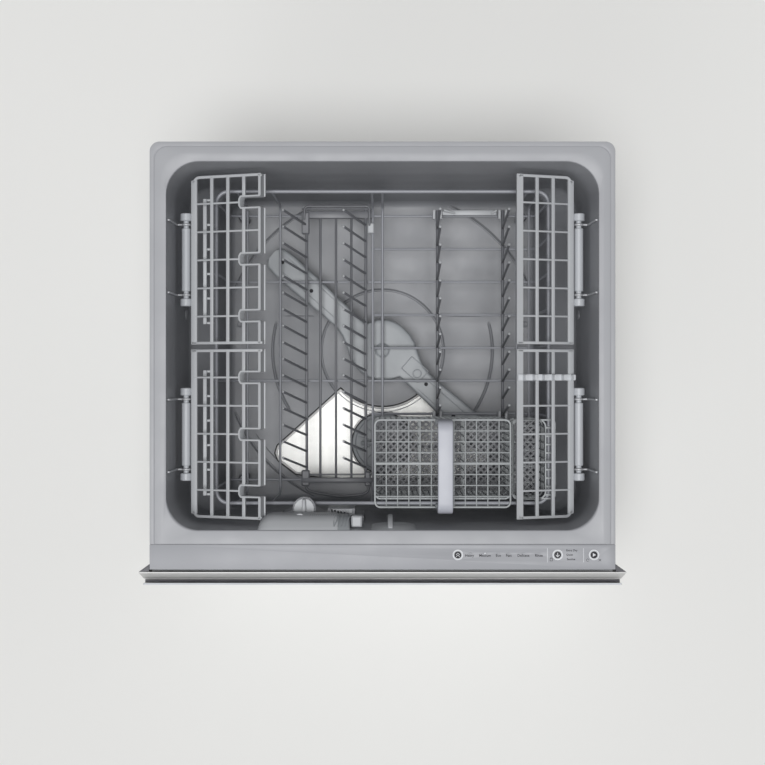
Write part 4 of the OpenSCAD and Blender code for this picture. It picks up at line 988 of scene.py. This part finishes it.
def hook_path():
    """A wire that comes out of the wall near the rim, runs down it, is cranked in to the hinge bar and turns nearly
    once round it: r (cos a, sin a) in the upright plane."""
    a = np.radians(np.linspace(20, 345, 26))
    loop = HOOK_LOOP_R * np.stack([np.cos(a), np.zeros(len(a)), np.sin(a)], -1)
    riser = bend([[15.2, 0, 56], [13.6, 0, 56], [11.96, 0, 0.8], loop[0]], [0, 1.4, 5, 0], 5)
    return np.concatenate([riser[:-1], loop])


# ---- base rack ----

RACK_X, RACK_Y, RACK_RIM_Z, RACK_CORNER_R = 212.6, 199.3, -74.0, 16
CROSS_Z = -230.0
LONG_Z = -226.55
LONG_XS = (-187, -141.7, -13.5, 0, 186, 203)
CROSS_YS = 186 - 45.75 * np.arange(9)
# Numbers of the cross wires that reach the left side; the others end near the middle
WIDE = (0, 2, 5, 8)
UPRIGHT_TOP = -76.5
FOOT_X = 195
FOOT = [[0, -289.9], [5, -289.9], [6, -288.6], [6, -240], [4.6, -233], [3.6, -231.8], [0, -231.8]]
COMB_OUT, COMB_PITCH, COMB_TEETH = 14.4, 31.4, 6


class MakeRack(bpy.types.Operator):
    """Makes the base rack's wires, feet and side combs"""

    bl_idname = "drawer.make_rack"
    bl_label = "Make base rack"

    def execute(self, context):
        r, rim_r, turn = sizes("drawer_rack", "wire_radius", "rim_radius", "foot_bend")
        rim = Shell()
        around = rounded_levels([(RACK_X, RACK_Y, RACK_Y, RACK_CORNER_R, RACK_CORNER_R, RACK_RIM_Z)], 10)[0]
        hoop(rim, subdivide(around, 4), circle(rim_r, 12), across=(0, 0, 1))
        dress("rack_rim", rim, DRAWER, "wire_grey", "rack_rim_wire")
        long, cross = Shell(), Shell()
        for x in LONG_XS:
            path = [(x, -RACK_Y, UPRIGHT_TOP), (x, -RACK_Y, LONG_Z), (x, RACK_Y, LONG_Z), (x, RACK_Y, UPRIGHT_TOP)]
            wire(long, bend(path, turn, 6), r)
        dress("rack_wires_long", long, DRAWER, "wire_grey", "rack_long_wires")
        for k, y in enumerate(CROSS_YS):
            path = [(RACK_X, y, UPRIGHT_TOP), (RACK_X, y, CROSS_Z)]
            path += [(-RACK_X, y, CROSS_Z), (-RACK_X, y, UPRIGHT_TOP)] if k in WIDE else [(-15, y, CROSS_Z)]
            wire(cross, bend(path, turn, 6), r)
        dress("rack_wires_cross", cross, DRAWER, "wire_grey", "rack_cross_wires")
        feet = Shell()
        for x in (-FOOT_X, FOOT_X):
            for y in (CROSS_YS[0] - 1, CROSS_YS[8] + 1):
                lathe(feet, FOOT, (x, y, 0), sides=24)
        dress("rack_feet_turned", feet, DRAWER, "insert_grey", "rack_feet")
        combs = Shell()
        x0 = -RACK_X - rim_r - COMB_OUT
        for s in (-1, 1):
            ys = s * (31 + COMB_PITCH * np.arange(COMB_TEETH))
            bar(combs, [(x0 + 2.5, ys[0] - s * 1.5, -74.5), (x0 + 2.5, ys[-1] + s * 1.5, -74.5)], 5, 9, 1.2)
            for y in ys:
                bar(combs, [(x0 + 4, y, RACK_RIM_Z), (-RACK_X - 2.6, y, RACK_RIM_Z)], 3, 3, 0.7)
        dress("comb_strips", combs, DRAWER, "rack_plastic", "side_combs")
        return {"FINISHED"}


def subdivide(ring, parts):
    """A closed ring with equal steps put between its points."""
    t = np.arange(parts)[None, :, None] / parts
    after = np.roll(ring, -1, 0)
    return (ring[:, None] * (1 - t) + after[:, None] * t).reshape(-1, 3)


# ---- tine inserts ----

ROD_Z = -219.3
FRAME_Z = -224.55
LEFT_RODS, RIGHT_RODS = (-104.6, -23.0), (75.7, 165.9)
# Front and back end of the rod, first tine, pitch, count, and how far a tine leans to the side, back and up
LEFT_TINES = (-184, 197.5, 172, 22.3, 16, (-30, 16, 47))
RIGHT_TINES = (-102, 192, 167.5, 23.4, 12, (0, 15, 105))


def tines(x, y0, y1, first, pitch, count, lean):
    """A rod from y0 to y1 and leaning tines that stand on it; the tips are a shell of their own."""
    row, tips = Shell(), Shell()
    r = sizes("drawer_rack", "tine_radius")
    wire(row, [(x, y0, ROD_Z), (x, (y0 + y1) / 2, ROD_Z), (x, y1, ROD_Z)], 2.0, 12)
    lean = np.asarray(lean, float)
    for k in range(count):
        foot = np.array([x, first - k * pitch, ROD_Z])
        wire(row, [foot + lean * 0.02, foot + lean * 0.5, foot + lean * 0.985], r, 8)
        wire(tips, [foot + lean * 0.975, foot + lean * 0.992], r * 1.04, 8, 0.5)
    return row, tips


def left_insert():
    """Bars across both ends of the left tine rows, blocks that hold the rods, three wires and a wire bow at either
    end."""
    shell = Shell()
    x0, x1 = LEFT_RODS[0] - 7, LEFT_RODS[1] + 8.5
    for y, w, h, down in ((186.5, 10, 8, 2), (194.6, 2.4, 5, 0), (-180, 7, 10.5, 0), (-172, 1.6, 5, 0)):
        bar(shell, [(x0, y, ROD_Z - down), (x1, y, ROD_Z - down)], w, h, 1.1)
    low = FRAME_Z - 0.5
    block(shell, (-111.6, 160, low), (-101.0, 190, FRAME_Z + 9), 1.4)
    block(shell, (-111.6, -188, low), (-100.5, -166, FRAME_Z + 10), 1.6)
    block(shell, (-24.5, -188, low), (-16.5, -168, FRAME_Z + 10), 1.6)
    z = FRAME_Z + 1.7
    for x in (-86, -64.4, -43.2):
        wire(shell, [(x, -177, z), (x, 0, z), (x, 190.5, z)], 1.7)
    front_bow = flat([(-107, -184), (-104, -195), (-60, -203), (-20, -199), (-18, -184)], ROD_Z)
    back_bow = flat([(-108, 180), (-107, 198), (-18, 198), (-18, 172)], ROD_Z + 4)
    wire(shell, bend(front_bow, 12, 6), 2.0)
    wire(shell, bend(back_bow, 5, 4), 1.6)
    return shell


def right_insert():
    """A bar with two catches behind the right tine rows, and a clamp round each end of their rods."""
    shell = Shell()
    x0, x1 = RIGHT_RODS
    bar(shell, [(x0 + 7, 189, ROD_Z + 0.5), (x1 - 9, 189, ROD_Z + 0.5)], 7, 8, 1.0)
    bar(shell, [(x0 + 8, 192, ROD_Z + 9), (x0 + 24, 188, ROD_Z + 5)], 2.4, 6, 0.8)
    bar(shell, [(x1 - 8, 192, ROD_Z + 8), (x1 - 16, 188, ROD_Z + 5)], 2.4, 6, 0.8)
    for x in RIGHT_RODS:
        for low, high in ((180, 193), (-98.5, -84.5)):
            block(shell, (x - 6.5, low, FRAME_Z - 0.3), (x - 2.6, high, FRAME_Z + 11), 0.9)
            block(shell, (x + 2.6, low, FRAME_Z - 0.3), (x + 6.5, high, FRAME_Z + 11), 0.9)
            block(shell, (x - 6.5, low + 2, FRAME_Z - 3.4), (x + 6.5, high - 2, FRAME_Z + 2.2), 0.8)
    return shell


class MakeTines(bpy.types.Operator):
    """Makes the four folding tine rows and the bars that carry them"""

    bl_idname = "drawer.make_tines"
    bl_label = "Make tine inserts"

    def execute(self, context):
        rows = [(x, *LEFT_TINES) for x in LEFT_RODS] + [(x, *RIGHT_TINES) for x in RIGHT_RODS]
        for k, values in enumerate(rows, 1):
            row, tips = tines(*values)
            node = "tine_row_%d" % k
            dress(node + "_wires", row, node, "insert_grey", node)
            dress(node + "_tips", tips, node, "rack_plastic")
        dress("insert_left", left_insert(), DRAWER, "insert_grey", "left_insert_frame")
        clasp = Shell()
        block(clasp, (-20.5, 161, FRAME_Z + 1), (-11.6, 175, FRAME_Z + 9), 1.4)
        dress("insert_clasp", clasp, DRAWER, "rack_plastic")
        dress("insert_right", right_insert(), DRAWER, "rack_plastic", "right_insert_frame")
        return {"FINISHED"}


# ---- baskets ----

BASKET_X = (-10.8, 164.6)
BASKET_Y = (-194.5, -91.7)
BASKET_TOP = -68.3
BASKET_BOTTOM = -192.3
LID_FRONT = -204.4
HANDLE_FRONT, HANDLE_BACK, HANDLE_TOP = -203.6, -93.7, -14.25
SIDE_X = (165.8, 209.3)
SIDE_TOP, SIDE_BOTTOM = -71.3, -143.3
# Outer edge of the flange that rests on the rim wire
FLANGE_X = 221.4


def lattice_wall(shell, p, q, z0, z1, pitch, w=1.7, rails=4):
    """Upright bars from p to q at equal steps near the pitch, and level rails across them."""
    p, q = np.asarray(p, float), np.asarray(q, float)
    count = int(round(np.linalg.norm(q - p) / pitch))
    out = np.array([q[1] - p[1], p[0] - q[0], 0])
    for t in np.linspace(0, 1, count + 1):
        x, y = p + (q - p) * t
        shell.grid(carry([(x, y, z0), (x, y, z1)], oblong(w, w, 0.3, 1), across=out))
    for z in np.linspace(z0, z1, rails + 2)[1:-1]:
        shell.grid(carry([(*p, z), (*q, z)], oblong(1.8, 1.5, 0.3, 1), across=(0, 0, 1)))


def lattice_sides(shell, x_range, y_range, cut, z0, z1, *style):
    """Lattice walls on the four sides of a box, each ending `cut` before the box's corners."""
    (x0, x1), (y0, y1) = x_range, y_range
    lattice_wall(shell, (x0 + cut, y0 + 1), (x1 - cut, y0 + 1), z0, z1, *style)
    lattice_wall(shell, (x1 - 1, y0 + cut), (x1 - 1, y1 - cut), z0, z1, *style)
    lattice_wall(shell, (x1 - cut, y1 - 1), (x0 + cut, y1 - 1), z0, z1, *style)
    lattice_wall(shell, (x0 + 1, y1 - cut), (x0 + 1, y0 + cut), z0, z1, *style)


def band(shell, outline, z, h, w, soft, parts=2):
    """A bar w wide and h high round a flat outline at one height."""
    hoop(shell, subdivide(flat(outline, z), parts), oblong(h, w, soft), across=(0, 0, 1))


class MakeBaskets(bpy.types.Operator):
    """Makes the cutlery basket with its lid and handle, and the side basket"""

    bl_idname = "drawer.make_baskets"
    bl_label = "Make baskets"

    def execute(self, context):
        wall_pitch, mesh_pitch, side_pitch = sizes("drawer_baskets", "wall_pitch", "mesh_pitch", "side_pitch")
        (x0, x1), (y0, y1), top, low = BASKET_X, BASKET_Y, BASKET_TOP, BASKET_BOTTOM
        middle_x, middle_y = (x0 + x1) / 2, (y0 + y1) / 2
        body, floor = Shell(), Shell()
        outline = oblong(x1 - x0 - 2, y1 - y0 - 2, 7, 6) + [middle_x, middle_y]
        for z, h, w in ((top - 5.4, 3.2, 2.4), (low + 1.5, 3.0, 2.4), (low + 62, 2.0, 2.0)):
            band(body, outline, z, h, w, 0.7)
        lattice_sides(body, BASKET_X, BASKET_Y, 7, low + 2, top - 2, wall_pitch)
        # Painted shade: the floor's strands take the darker insert grey, though the basket is all one grey plastic, for
        # the shade inside it.
        diamond(floor, x0 + 1.5, x1 - 1.5, y0 + 1.5, y1 - 1.5, low + 1.2, mesh_pitch)
        dress("basket_floor", floor, "cutlery", "insert_grey")
        for x in (x0 + (x1 - x0) / 3, x0 + 2 * (x1 - x0) / 3):
            lattice_wall(body, (x, y0 + 1.5), (x, y1 - 1.5), low + 2, low + 96, 11, 1.3, 3)
        dress("basket_body", body, "cutlery", "basket_grey", "cutlery_basket")
        dress("basket_lid_grid", lid_grid(middle_x), "cutlery", "basket_grey", "basket_lid")
        handle, bracket = Shell(), Shell()
        x, front = middle_x + 1.2, HANDLE_FRONT
        arch = [(x, front, top + 0.1), (x, front - 3, -50), (x, front - 3, HANDLE_TOP), (x, HANDLE_BACK, HANDLE_TOP),
                (x, HANDLE_BACK, top + 0.1)]
        handle.grid(carry(bend(arch, [0, 14, 13, 13, 0], 8), oblong(19, 4, 1.7, 4), across=(1, 0, 0)))
        dress("handle_arch", handle, "cutlery", "handle_lavender", "basket_handle")
        for start, end in ((HANDLE_BACK - 4.5, HANDLE_BACK + 2.0), (front - 2, front + 4)):
            block(bracket, (x - 11, start, top - 0.2), (x + 11, end, top + 6), 1.4)
        dress("handle_brackets", bracket, "cutlery", "filter_grey")
        side_basket(side_pitch)
        return {"FINISHED"}


def lid_grid(middle_x):
    """The cutlery basket's lid: bars both ways, the middle one wider, in a rounded frame with two bars below its
    front."""
    lid = Shell()
    top = BASKET_TOP
    x0, x1, y0, y1 = BASKET_X[0] + 1.2, BASKET_X[1] - 1.2, LID_FRONT, BASKET_Y[1] - 1.2
    for x in np.linspace(x0, x1, 13)[1:-1]:
        bar(lid, [(x, y0, top - 2.6), (x, y1, top - 2.6)], 1.6, 1.7, 0.4)
    for k, y in enumerate(np.linspace(y1, y0, 9)[1:-1]):
        bar(lid, [(x0, y, top - 1.1), (x1, y, top - 1.1)], 3.2 if k == 3 else 1.6, 1.7, 0.4)
    band(lid, oblong(x1 - x0, y1 - y0, 7, 6) + [middle_x, (y0 + y1) / 2], top - 1.5, 2.6, 2.4, 0.6)
    for y in (y0 + 11.5, y0 + 1):
        bar(lid, [(x0 + 6, y, top - 4.5), (x1 - 6, y, top - 4.5)], 1.6, 4, 0.6)
    return lid


def diamond(shell, x0, x1, y0, y1, z, pitch):
    """Two sets of strands at 45 degrees across a rectangle: y - x = c and y + x = c, cut to the rectangle's edges."""
    for s in (1, -1):
        low = y0 - max(s * x0, s * x1)
        high = y1 - min(s * x0, s * x1)
        for c in np.arange(low + pitch, high, pitch * math.sqrt(2)):
            xs = np.sort(np.clip([s * (y0 - c), s * (y1 - c)], x0, x1))
            if xs[1] - xs[0] > pitch / 2:
                ends = [(x, c + s * x, z + 0.3 * s) for x in xs]
                shell.grid(carry(ends, oblong(1.6, 2.9, 0.2, 1), across=(0, 0, 1)))


def side_basket(pitch):
    """The small basket beside the cutlery basket: a rounded rim with a flange, upright bars and a slatted floor."""
    shell, floor = Shell(), Shell()
    (x0, x1), (y0, y1), low, top = SIDE_X, BASKET_Y, SIDE_BOTTOM, SIDE_TOP
    middle_y = (y0 + y1) / 2
    outline = oblong(x1 - x0 - 2, y1 - y0 - 2, 9, 6) + [(x0 + x1) / 2, middle_y]
    for z, h in ((top + 0.9, 2.0), (low + 1.4, 2.8), (low + 36, 1.8)):
        band(shell, outline, z, h, 2.2, 0.6)
    lattice_sides(shell, SIDE_X, BASKET_Y, 10, low + 1, top, pitch, 2.0, 2)
    for y in np.arange(y0 + 6, y1 - 4, pitch):
        bar(shell, [(x0 + 1.5, y, low + 1.2), (x1 - 1.5, y, low + 1.2)], 2.4, 2.2, 0.5)
        bar(shell, [(x1 - 1.5, y, top + 0.9), (FLANGE_X - 0.4, y, top + 0.9)], 2.6, 1.8, 0.5)
    edge = oblong(FLANGE_X - x0, y1 - y0, 6, 5) + [(x0 + FLANGE_X) / 2, middle_y]
    band(shell, inset(edge, 1.2), top + 0.9, 2.0, 2.2, 0.5, 3)
    dress("side_basket_bars", shell, DRAWER, "basket_grey", "side_basket")
    # Painted shade: the floor's strands take the darker insert grey, though the basket is all one grey plastic, for the
    # shade inside it.
    diamond(floor, x0 + 2, x1 - 2, y0 + 3, y1 - 3, low + 1.4, 6.2)
    dress("side_basket_floor", floor, DRAWER, "insert_grey")


# ---- spray arm, filters and dispenser ----

ARM_Z, ARM_HALF, ARM_REACH, ARM_HUB, ARM_ANGLE = -262.0, 10.0, 204.0, 43.0, math.radians(138.5)
ARM_TOP = ARM_Z + 2 * ARM_HALF
# Distance along the arm and width on its wide side, and the same on its narrow side
WIDE_EDGE = ([0, 14, 28, 42, 56, 72, 95, 125, 180, 198, 204], [43, 42, 37.5, 29, 22, 19, 19, 20.8, 21.5, 19.5, 12])
NARROW_EDGE = ([0, 60, 90, 132, 180, 198, 204], [12, 12.8, 14, 15.7, 16.8, 15, 9])
HUB_CAP = [[11, -1], [10.6, 0.4], [9, 1.0], [8.6, 2.4], [7.6, 2.9], [0, 3.0]]
NOZZLE = [[2.7, -0.6], [2.7, 0.25], [2.2, 0.45], [1.5, 0.2], [0, 0.1]]
NOZZLES = ((-139.9, 122.9), (-99.4, 83.0), (60.9, -47.6), (99, -92), (139, -126), (156, -134))


def arm_edges(s):
    """The arm's two edges at distances s along it. For s > 0 the wide edge blends from the hub's 43 to 19 and out to
    21, and the narrow edge leaves the hub's circle at 12 and widens to 16; turned by half a circle for s < 0."""
    far = np.abs(s)
    hub = np.sqrt(np.maximum(ARM_HUB**2 - far**2, 0))
    wide, narrow = np.interp(far, *WIDE_EDGE), np.maximum(np.interp(far, *NARROW_EDGE), hub)
    return np.where(s > 0, wide, narrow), -np.where(s > 0, narrow, wide)


def arm_shell(z0, z1, drawn_in, soft):
    """A loft along the arm: at each distance s along it the section is a rounded rectangle between the arm's edges."""
    shell = Shell()
    tip = np.linspace(ARM_REACH, 150, 24)
    s = np.concatenate([-tip, np.linspace(-148, 148, 121), tip[::-1]])[:, None]
    up, down = arm_edges(s)
    up, down = up - drawn_in, down + drawn_in
    a = np.linspace(0, math.pi / 2, 4)
    t = np.linspace(1, -1, 9)[1:-1]
    right, left = up - soft + soft * np.cos(a), down + soft - soft * np.cos(a)
    over = (up + down) / 2 + (up - down) / 2 * t
    across = np.concatenate([right, over, left[:, ::-1], left, right[:, ::-1]], 1)
    high, low = z1 - soft + soft * np.sin(a), z0 + soft * 0.5 - soft * 0.5 * np.sin(a)
    z = np.concatenate([high, np.full(len(t), z1), high[::-1], low, low[::-1]])
    shell.grid(swung(np.stack(np.broadcast_arrays(s, across, z), -1), ARM_ANGLE))
    return shell


class MakeWaterWays(bpy.types.Operator):
    """Makes the spray arm, the hub, the filters, the dispenser and its covers"""

    bl_idname = "drawer.make_water_ways"
    bl_label = "Make spray arm and filters"

    def execute(self, context):
        lower = arm_shell(ARM_Z, ARM_Z + ARM_HALF, 0.4, 2.4)
        dress("arm_under", lower, "spray_arm", "arm_grey", "spray_arm_lower")
        upper = arm_shell(ARM_Z + ARM_HALF + 0.1, ARM_TOP, 0, 3.2)
        lathe(upper, HUB_CAP, (0, 0, ARM_TOP), sides=40)
        plate = flat(swung(oblong(31, 22, 1.2, 2), ARM_ANGLE) + [45.4, -27.2], ARM_TOP - 0.2)
        ridge(upper, subdivide(plate, 3), 1.5, 0.9, closed=True)
        ridge(upper, arc(5.6, 0, 345, ARM_TOP - 0.2, 24, (48.4, -32.7)), 1.6, 1.0, closed=True)
        z = ARM_TOP - 0.3
        for side in (0, math.pi):
            for y in (-8, 10):
                ridge(upper, swung(line((64, y, z), (190, y * 1.1, z), 20), ARM_ANGLE + side), 1.6, 0.7)
        dress("arm_top", upper, "spray_arm", "arm_grey", "spray_arm_upper")
        mouths = Shell()
        for x, y in NOZZLES:
            lathe(mouths, NOZZLE, (x, y, ARM_TOP - 0.05), sides=16)
        dress("arm_nozzles", mouths, "spray_arm", "button_black")
        filters()
        dispenser()
        return {"FINISHED"}


# Right edge of the filter plate, its inner arc and the level of its top
PLATE_SIDE = np.array([[64, -58], [150, -136], [153, -146], [149, -156], [124, -175], [60, -184]], float)
PLATE_ARC_R = 80.6
PLATE_TOP = -288.9
DRAIN_CAP = [
    [0, -335], [38, -335], [38, -292], [43, -292], [43, -287.4], [42, -286.2], [39, -286], [37.6, -287.2],
    [20, -286.6], [8, -285.6], [0, -285.6],
]
HUB = [
    [9, -306], [20, -306], [20, -290], [38, -290], [38, -287.4], [36.5, -286.9], [22, -286.9], [20, -284],
    [20, -263.2], [19.2, -262.4], [14, -262.4], [14, -253], [13.4, -252.3], [9, -252.3],
]


def filters():
    """The filter plate's raised border, black ridges painted as the shadow in the gaps along the plate's edge and round
    the drain filter, the hub, and the drain filter: a domed cap with a grip and rays over a cylinder."""
    border, gap_shadow, drain, hub = (Shell() for _ in range(4))
    a = np.radians(np.linspace(-137.8, -42.2, 40))
    inner = PLATE_ARC_R * np.stack([np.cos(a), np.sin(a)], -1)
    outline = np.concatenate([inner, PLATE_SIDE, (PLATE_SIDE * [-1, 1])[::-1]])
    ridge(border, subdivide(flat(inset(outline, -1.0), PLATE_TOP), 2), 3.4, 1.1, closed=True)
    ridge(border, arc(45.2, 0, 354, PLATE_TOP, 60, (0, DRAIN_Y)), 2.6, 1.2, closed=True)
    dress("filter_border", border, DRAWER, "stainless")
    # Painted shadow: black ridges just inside the plate's border and round the drain filter, in the gaps where shadow
    # falls.
    ridge(gap_shadow, subdivide(flat(inset(outline, 1.0), PLATE_TOP - 0.8), 2), 2.2, 0.9, closed=True)
    ridge(gap_shadow, arc(43.9, 0, 354, PLATE_TOP - 0.1, 60, (0, DRAIN_Y)), 1.8, 1.2, closed=True)
    dress("filter_seal", gap_shadow, DRAWER, "rubber_black")
    lathe(drain, DRAIN_CAP, (0, DRAIN_Y, 0), sides=64)
    bar(drain, [(x, DRAIN_Y, -282.6) for x in (-31, 0, 31)], 6, 7.2, 2.2)
    for k in range(12):
        a = math.radians(30 * k + 15)
        ray = np.array([math.cos(a), math.sin(a), 0])
        centre = np.array([0, DRAIN_Y, -286.6])
        ridge(drain, line(centre + 12 * ray, centre + 36 * ray, 8), 1.8, 0.8)
    dress("drain_filter_cap", drain, "drain_filter", "filter_grey", "drain_filter")
    lathe(hub, HUB, (0, 0, 0), sides=56)
    dress("hub_turned", hub, DRAWER, "arm_grey", "spray_hub")


# Upright section of a bulge of the front wall: how far it stands out, and its height
BULGE = ((0, -1.2), (3, -3), (11.5, -10), (16.5, -19), (17.2, -37), (15.5, -40.3), (-1.2, -40.3))
KNOB = [[0, -6], [9.2, -6], [9.2, 0], [13.3, 0], [13.3, 2.6], [12.5, 3.8], [10.5, 4.0], [0, 4.0]]
KNOB_AT = (-99.0, -204.5, -51.9)
WEDGE = np.array([(-1.9, -12.2), (1.9, -12.2), (2.6, 0), (1.9, 12.2), (-1.9, 12.2), (-2.6, 0)])


def wall_bulge(shell, x0, x1, left, right, swell):
    """A bulge of the front wall: its upright section, drawn in towards the wall by f(x), where f falls along a quarter
    of an ellipse over `left` and `right` millimetres at its ends."""
    section = bend(BULGE, [0, 1.5, 5, 5, 2, 2, 0], 4)
    ease = 1 - np.cos(np.linspace(0.02, 1.57, 12))
    x = np.concatenate([x0 + left * ease, x1 - right * ease[::-1]])[:, None]
    past = np.clip(np.maximum((x0 + left - x) / left, (x - x1 + right) / right), 0, 1)
    f = np.sqrt(np.clip(1 - past**2, 0.001, 1))
    deep, z = section.T
    y = -226.4 - 0.045 * z + np.where(deep > 0, deep * swell, deep) * f
    shell.grid(np.stack(np.broadcast_arrays(x, y, z), -1))


def dispenser():
    """The dispenser's bulged housing, the rinse-aid knob with its wedge grip, the ribbed detergent cover and the small
    parts beside them."""
    soften("dispenser_housing", 0.8)
    bulge, cover, pale, knob = (Shell() for _ in range(4))
    wall_bulge(bulge, -154, -49, 20, 11, 1.0)
    wall_bulge(bulge, -14, 41, 26, 26, 0.28)
    dress("dispenser_bulge", bulge, DRAWER, "rack_plastic")
    wall_bulge(cover, -61, -40, 3, 3, 0.9)
    for x in np.arange(-64, -42, 4.4):
        rib = line((x, -222.5, -3.2), (x + 6, -209.6, -19))
        rib[:, 0] = np.clip(rib[:, 0], -60, -41)
        ridge(cover, rib, 2.2, 1.5)
    for x in np.arange(-92, -61, 2.6):
        ridge(cover, line((x, -214.5, -11.5), (x + 3, -208.6, -22)), 1.1, 0.9)
    dress("ribbed_cover", cover, DRAWER, "arm_grey")
    block(pale, (-38.6, -224.5, -37), (-25.4, -210.4, -14), 1.8)
    bar(pale, [(9.6, -224.6, -6), (9.6, -215.5, -20), (9.6, -212.3, -40)], 6.4, 4.8, 1.8, across=(0, 0.7, 0.7))
    slab(pale, circle(7.4, 24)[:13] + [-102.6, -215.2], -34, -19.5, 0.6)
    dress("dispenser_pale_parts", pale, DRAWER, "rack_plastic")
    x, y, z = KNOB_AT
    lathe(knob, KNOB, KNOB_AT, sides=48)
    slab(knob, WEDGE + [x, y], z + 3.6, z + 10, 1.0)
    for k in range(20):
        a = math.radians(18 * k + 9)
        p = (x + 13.2 * math.cos(a), y + 13.2 * math.sin(a))
        wire(knob, [(*p, z + 0.5), (*p, z + 3.0)], 0.55, 6)
    dress("knob", knob, "rinse_aid_cap", "rack_plastic", "rinse_aid_cap", sharp=50)
    soften("detergent_lid", 0.25, "detergent_lid")


# Width of the softened edges, for the solids under the tub
SOFT_BASE = {
    "base_pan": 0.5, "runner_brackets": 0.5, "inner_runners": 0.5, "sump": 1.2, "wash_motor": 1.5, "drain_pump": 0.8,
    "inlet_pipe": 0.5, "tub_supports": 1.0,
}


class MakeBase(bpy.types.Operator):
    """Softens the folded sheet, runners and pump parts below the tub and finishes the solids that stay"""

    bl_idname = "drawer.make_base"
    bl_label = "Make base and runners"

    def execute(self, context):
        for node, width in SOFT_BASE.items():
            soften(node, width)
        soften("middle_runners", 0.5, "middle_runners")
        soften("outer_runners", 0.5, "fixed_runners")
        for node, piece in frame["nodes"].items():
            if not piece.hide_render:
                piece.data.materials.clear()
                piece.data.materials.append(finish(SLOTS[node]))
        return {"FINISHED"}


# ---- stage ----

FLOOR_HALF = 40.0
BACKGROUND = 0.85
# Direction and share of the soft light of each lamp
LAMPS = {"overhead": ((0.05, 0.12, -1), 1.0), "front": ((0.3, 0.75, -0.6), 0.12)}


def backdrop_finish():
    """A matt pale floor that the camera and mirrors see at its own colour, and that keeps the drawer's soft shadow."""
    material = bpy.data.materials.new("backdrop")
    material.use_nodes = True
    nodes = Nodes(material)
    floor = tuple(bpy.context.scene.drawer_colours.floor)
    nodes.set("Base Color", nodes.blend(nodes.noise(2, 2), shade(floor, 0.985), shade(floor, 1.01)))
    nodes.set("Roughness", 0.9)
    nodes.set("Specular IOR Level", 0.1)
    return material


class MakeStage(bpy.types.Operator):
    """Makes the floor, the soft light, the room's light and the camera that looks straight down"""

    bl_idname = "drawer.make_stage"
    bl_label = "Make stage"

    def execute(self, context):
        scene = context.scene
        stage = scene.drawer_stage
        scene.view_settings.view_transform = "Standard"
        mesh = bpy.data.meshes.new("floor")
        h = FLOOR_HALF
        mesh.from_pydata([(-h, -h, 0), (h, -h, 0), (h, h, 0), (-h, h, 0)], [], [(0, 1, 2, 3)])
        floor = bpy.data.objects.new("floor", mesh)
        scene.collection.objects.link(floor)
        mesh.materials.append(backdrop_finish())
        world = bpy.data.worlds.new("room")
        scene.world = world
        world.use_nodes = True
        room = Nodes(world, "Background")
        ray = room.new("ShaderNodeLightPath")
        seen = room.new(
            "ShaderNodeMath", {"operation": "MAXIMUM"}, i0=ray.outputs["Is Camera Ray"], i1=ray.outputs["Is Glossy Ray"]
        )
        room.set("Strength", room.span(seen.outputs[0], stage.room, BACKGROUND, 0.0, 1.0))
        room.set("Color", (1, 1, 1, 1))
        for name, (aim, share) in LAMPS.items():
            light = bpy.data.lights.new(name, "SUN")
            light.energy, light.angle = stage.sun * share, stage.spread
            lamp = bpy.data.objects.new(name, light)
            lamp.rotation_mode = "QUATERNION"
            lamp.rotation_quaternion = Vector(aim).to_track_quat("-Z", "Y")
            scene.collection.objects.link(lamp)
        camera = bpy.data.objects.new("camera", bpy.data.cameras.new("camera"))
        camera.data.lens = stage.lens
        camera.data.sensor_width = 36
        camera.location = (0, MIDDLE_Y - stage.camera_y, RIM_Z + stage.camera_height)
        scene.collection.objects.link(camera)
        scene.camera = camera
        return {"FINISHED"}


# ---- add-on ----

STEPS = (
    MakeStage, MakeTub, MakeFascia, MakeDoor, MakeCupRacks, MakeRack, MakeTines, MakeBaskets, MakeWaterWays, MakeBase
)


class DrawerPanel(bpy.types.Panel):
    """Lists the drawer's settings and steps in the sidebar"""

    bl_idname = "VIEW3D_PT_drawer"
    bl_label = "Dishwasher drawer"
    bl_space_type = "VIEW_3D"
    bl_region_type = "UI"
    bl_category = "Drawer"

    def draw(self, context):
        for step in STEPS:
            self.layout.operator(step.bl_idname)
        for group, kind in SETTINGS.items():
            box = self.layout.box()
            settings = getattr(context.scene, group)
            for name in kind.__annotations__:
                box.prop(settings, name)


CLASSES = (*SETTINGS.values(), *STEPS, DrawerPanel)


def register():
    """Makes the classes and their settings known to Blender."""
    for kind in CLASSES:
        bpy.utils.register_class(kind)
    for name, kind in SETTINGS.items():
        setattr(bpy.types.Scene, name, bpy.props.PointerProperty(type=kind))


def unregister():
    """Takes the settings and the classes away again."""
    for name in SETTINGS:
        delattr(bpy.types.Scene, name)
    for kind in reversed(CLASSES):
        bpy.utils.unregister_class(kind)


def main():
    register()
    for step in STEPS:
        group, name = step.bl_idname.split(".")
        getattr(getattr(bpy.ops, group), name)()


if __name__ == "__main__":
    main()
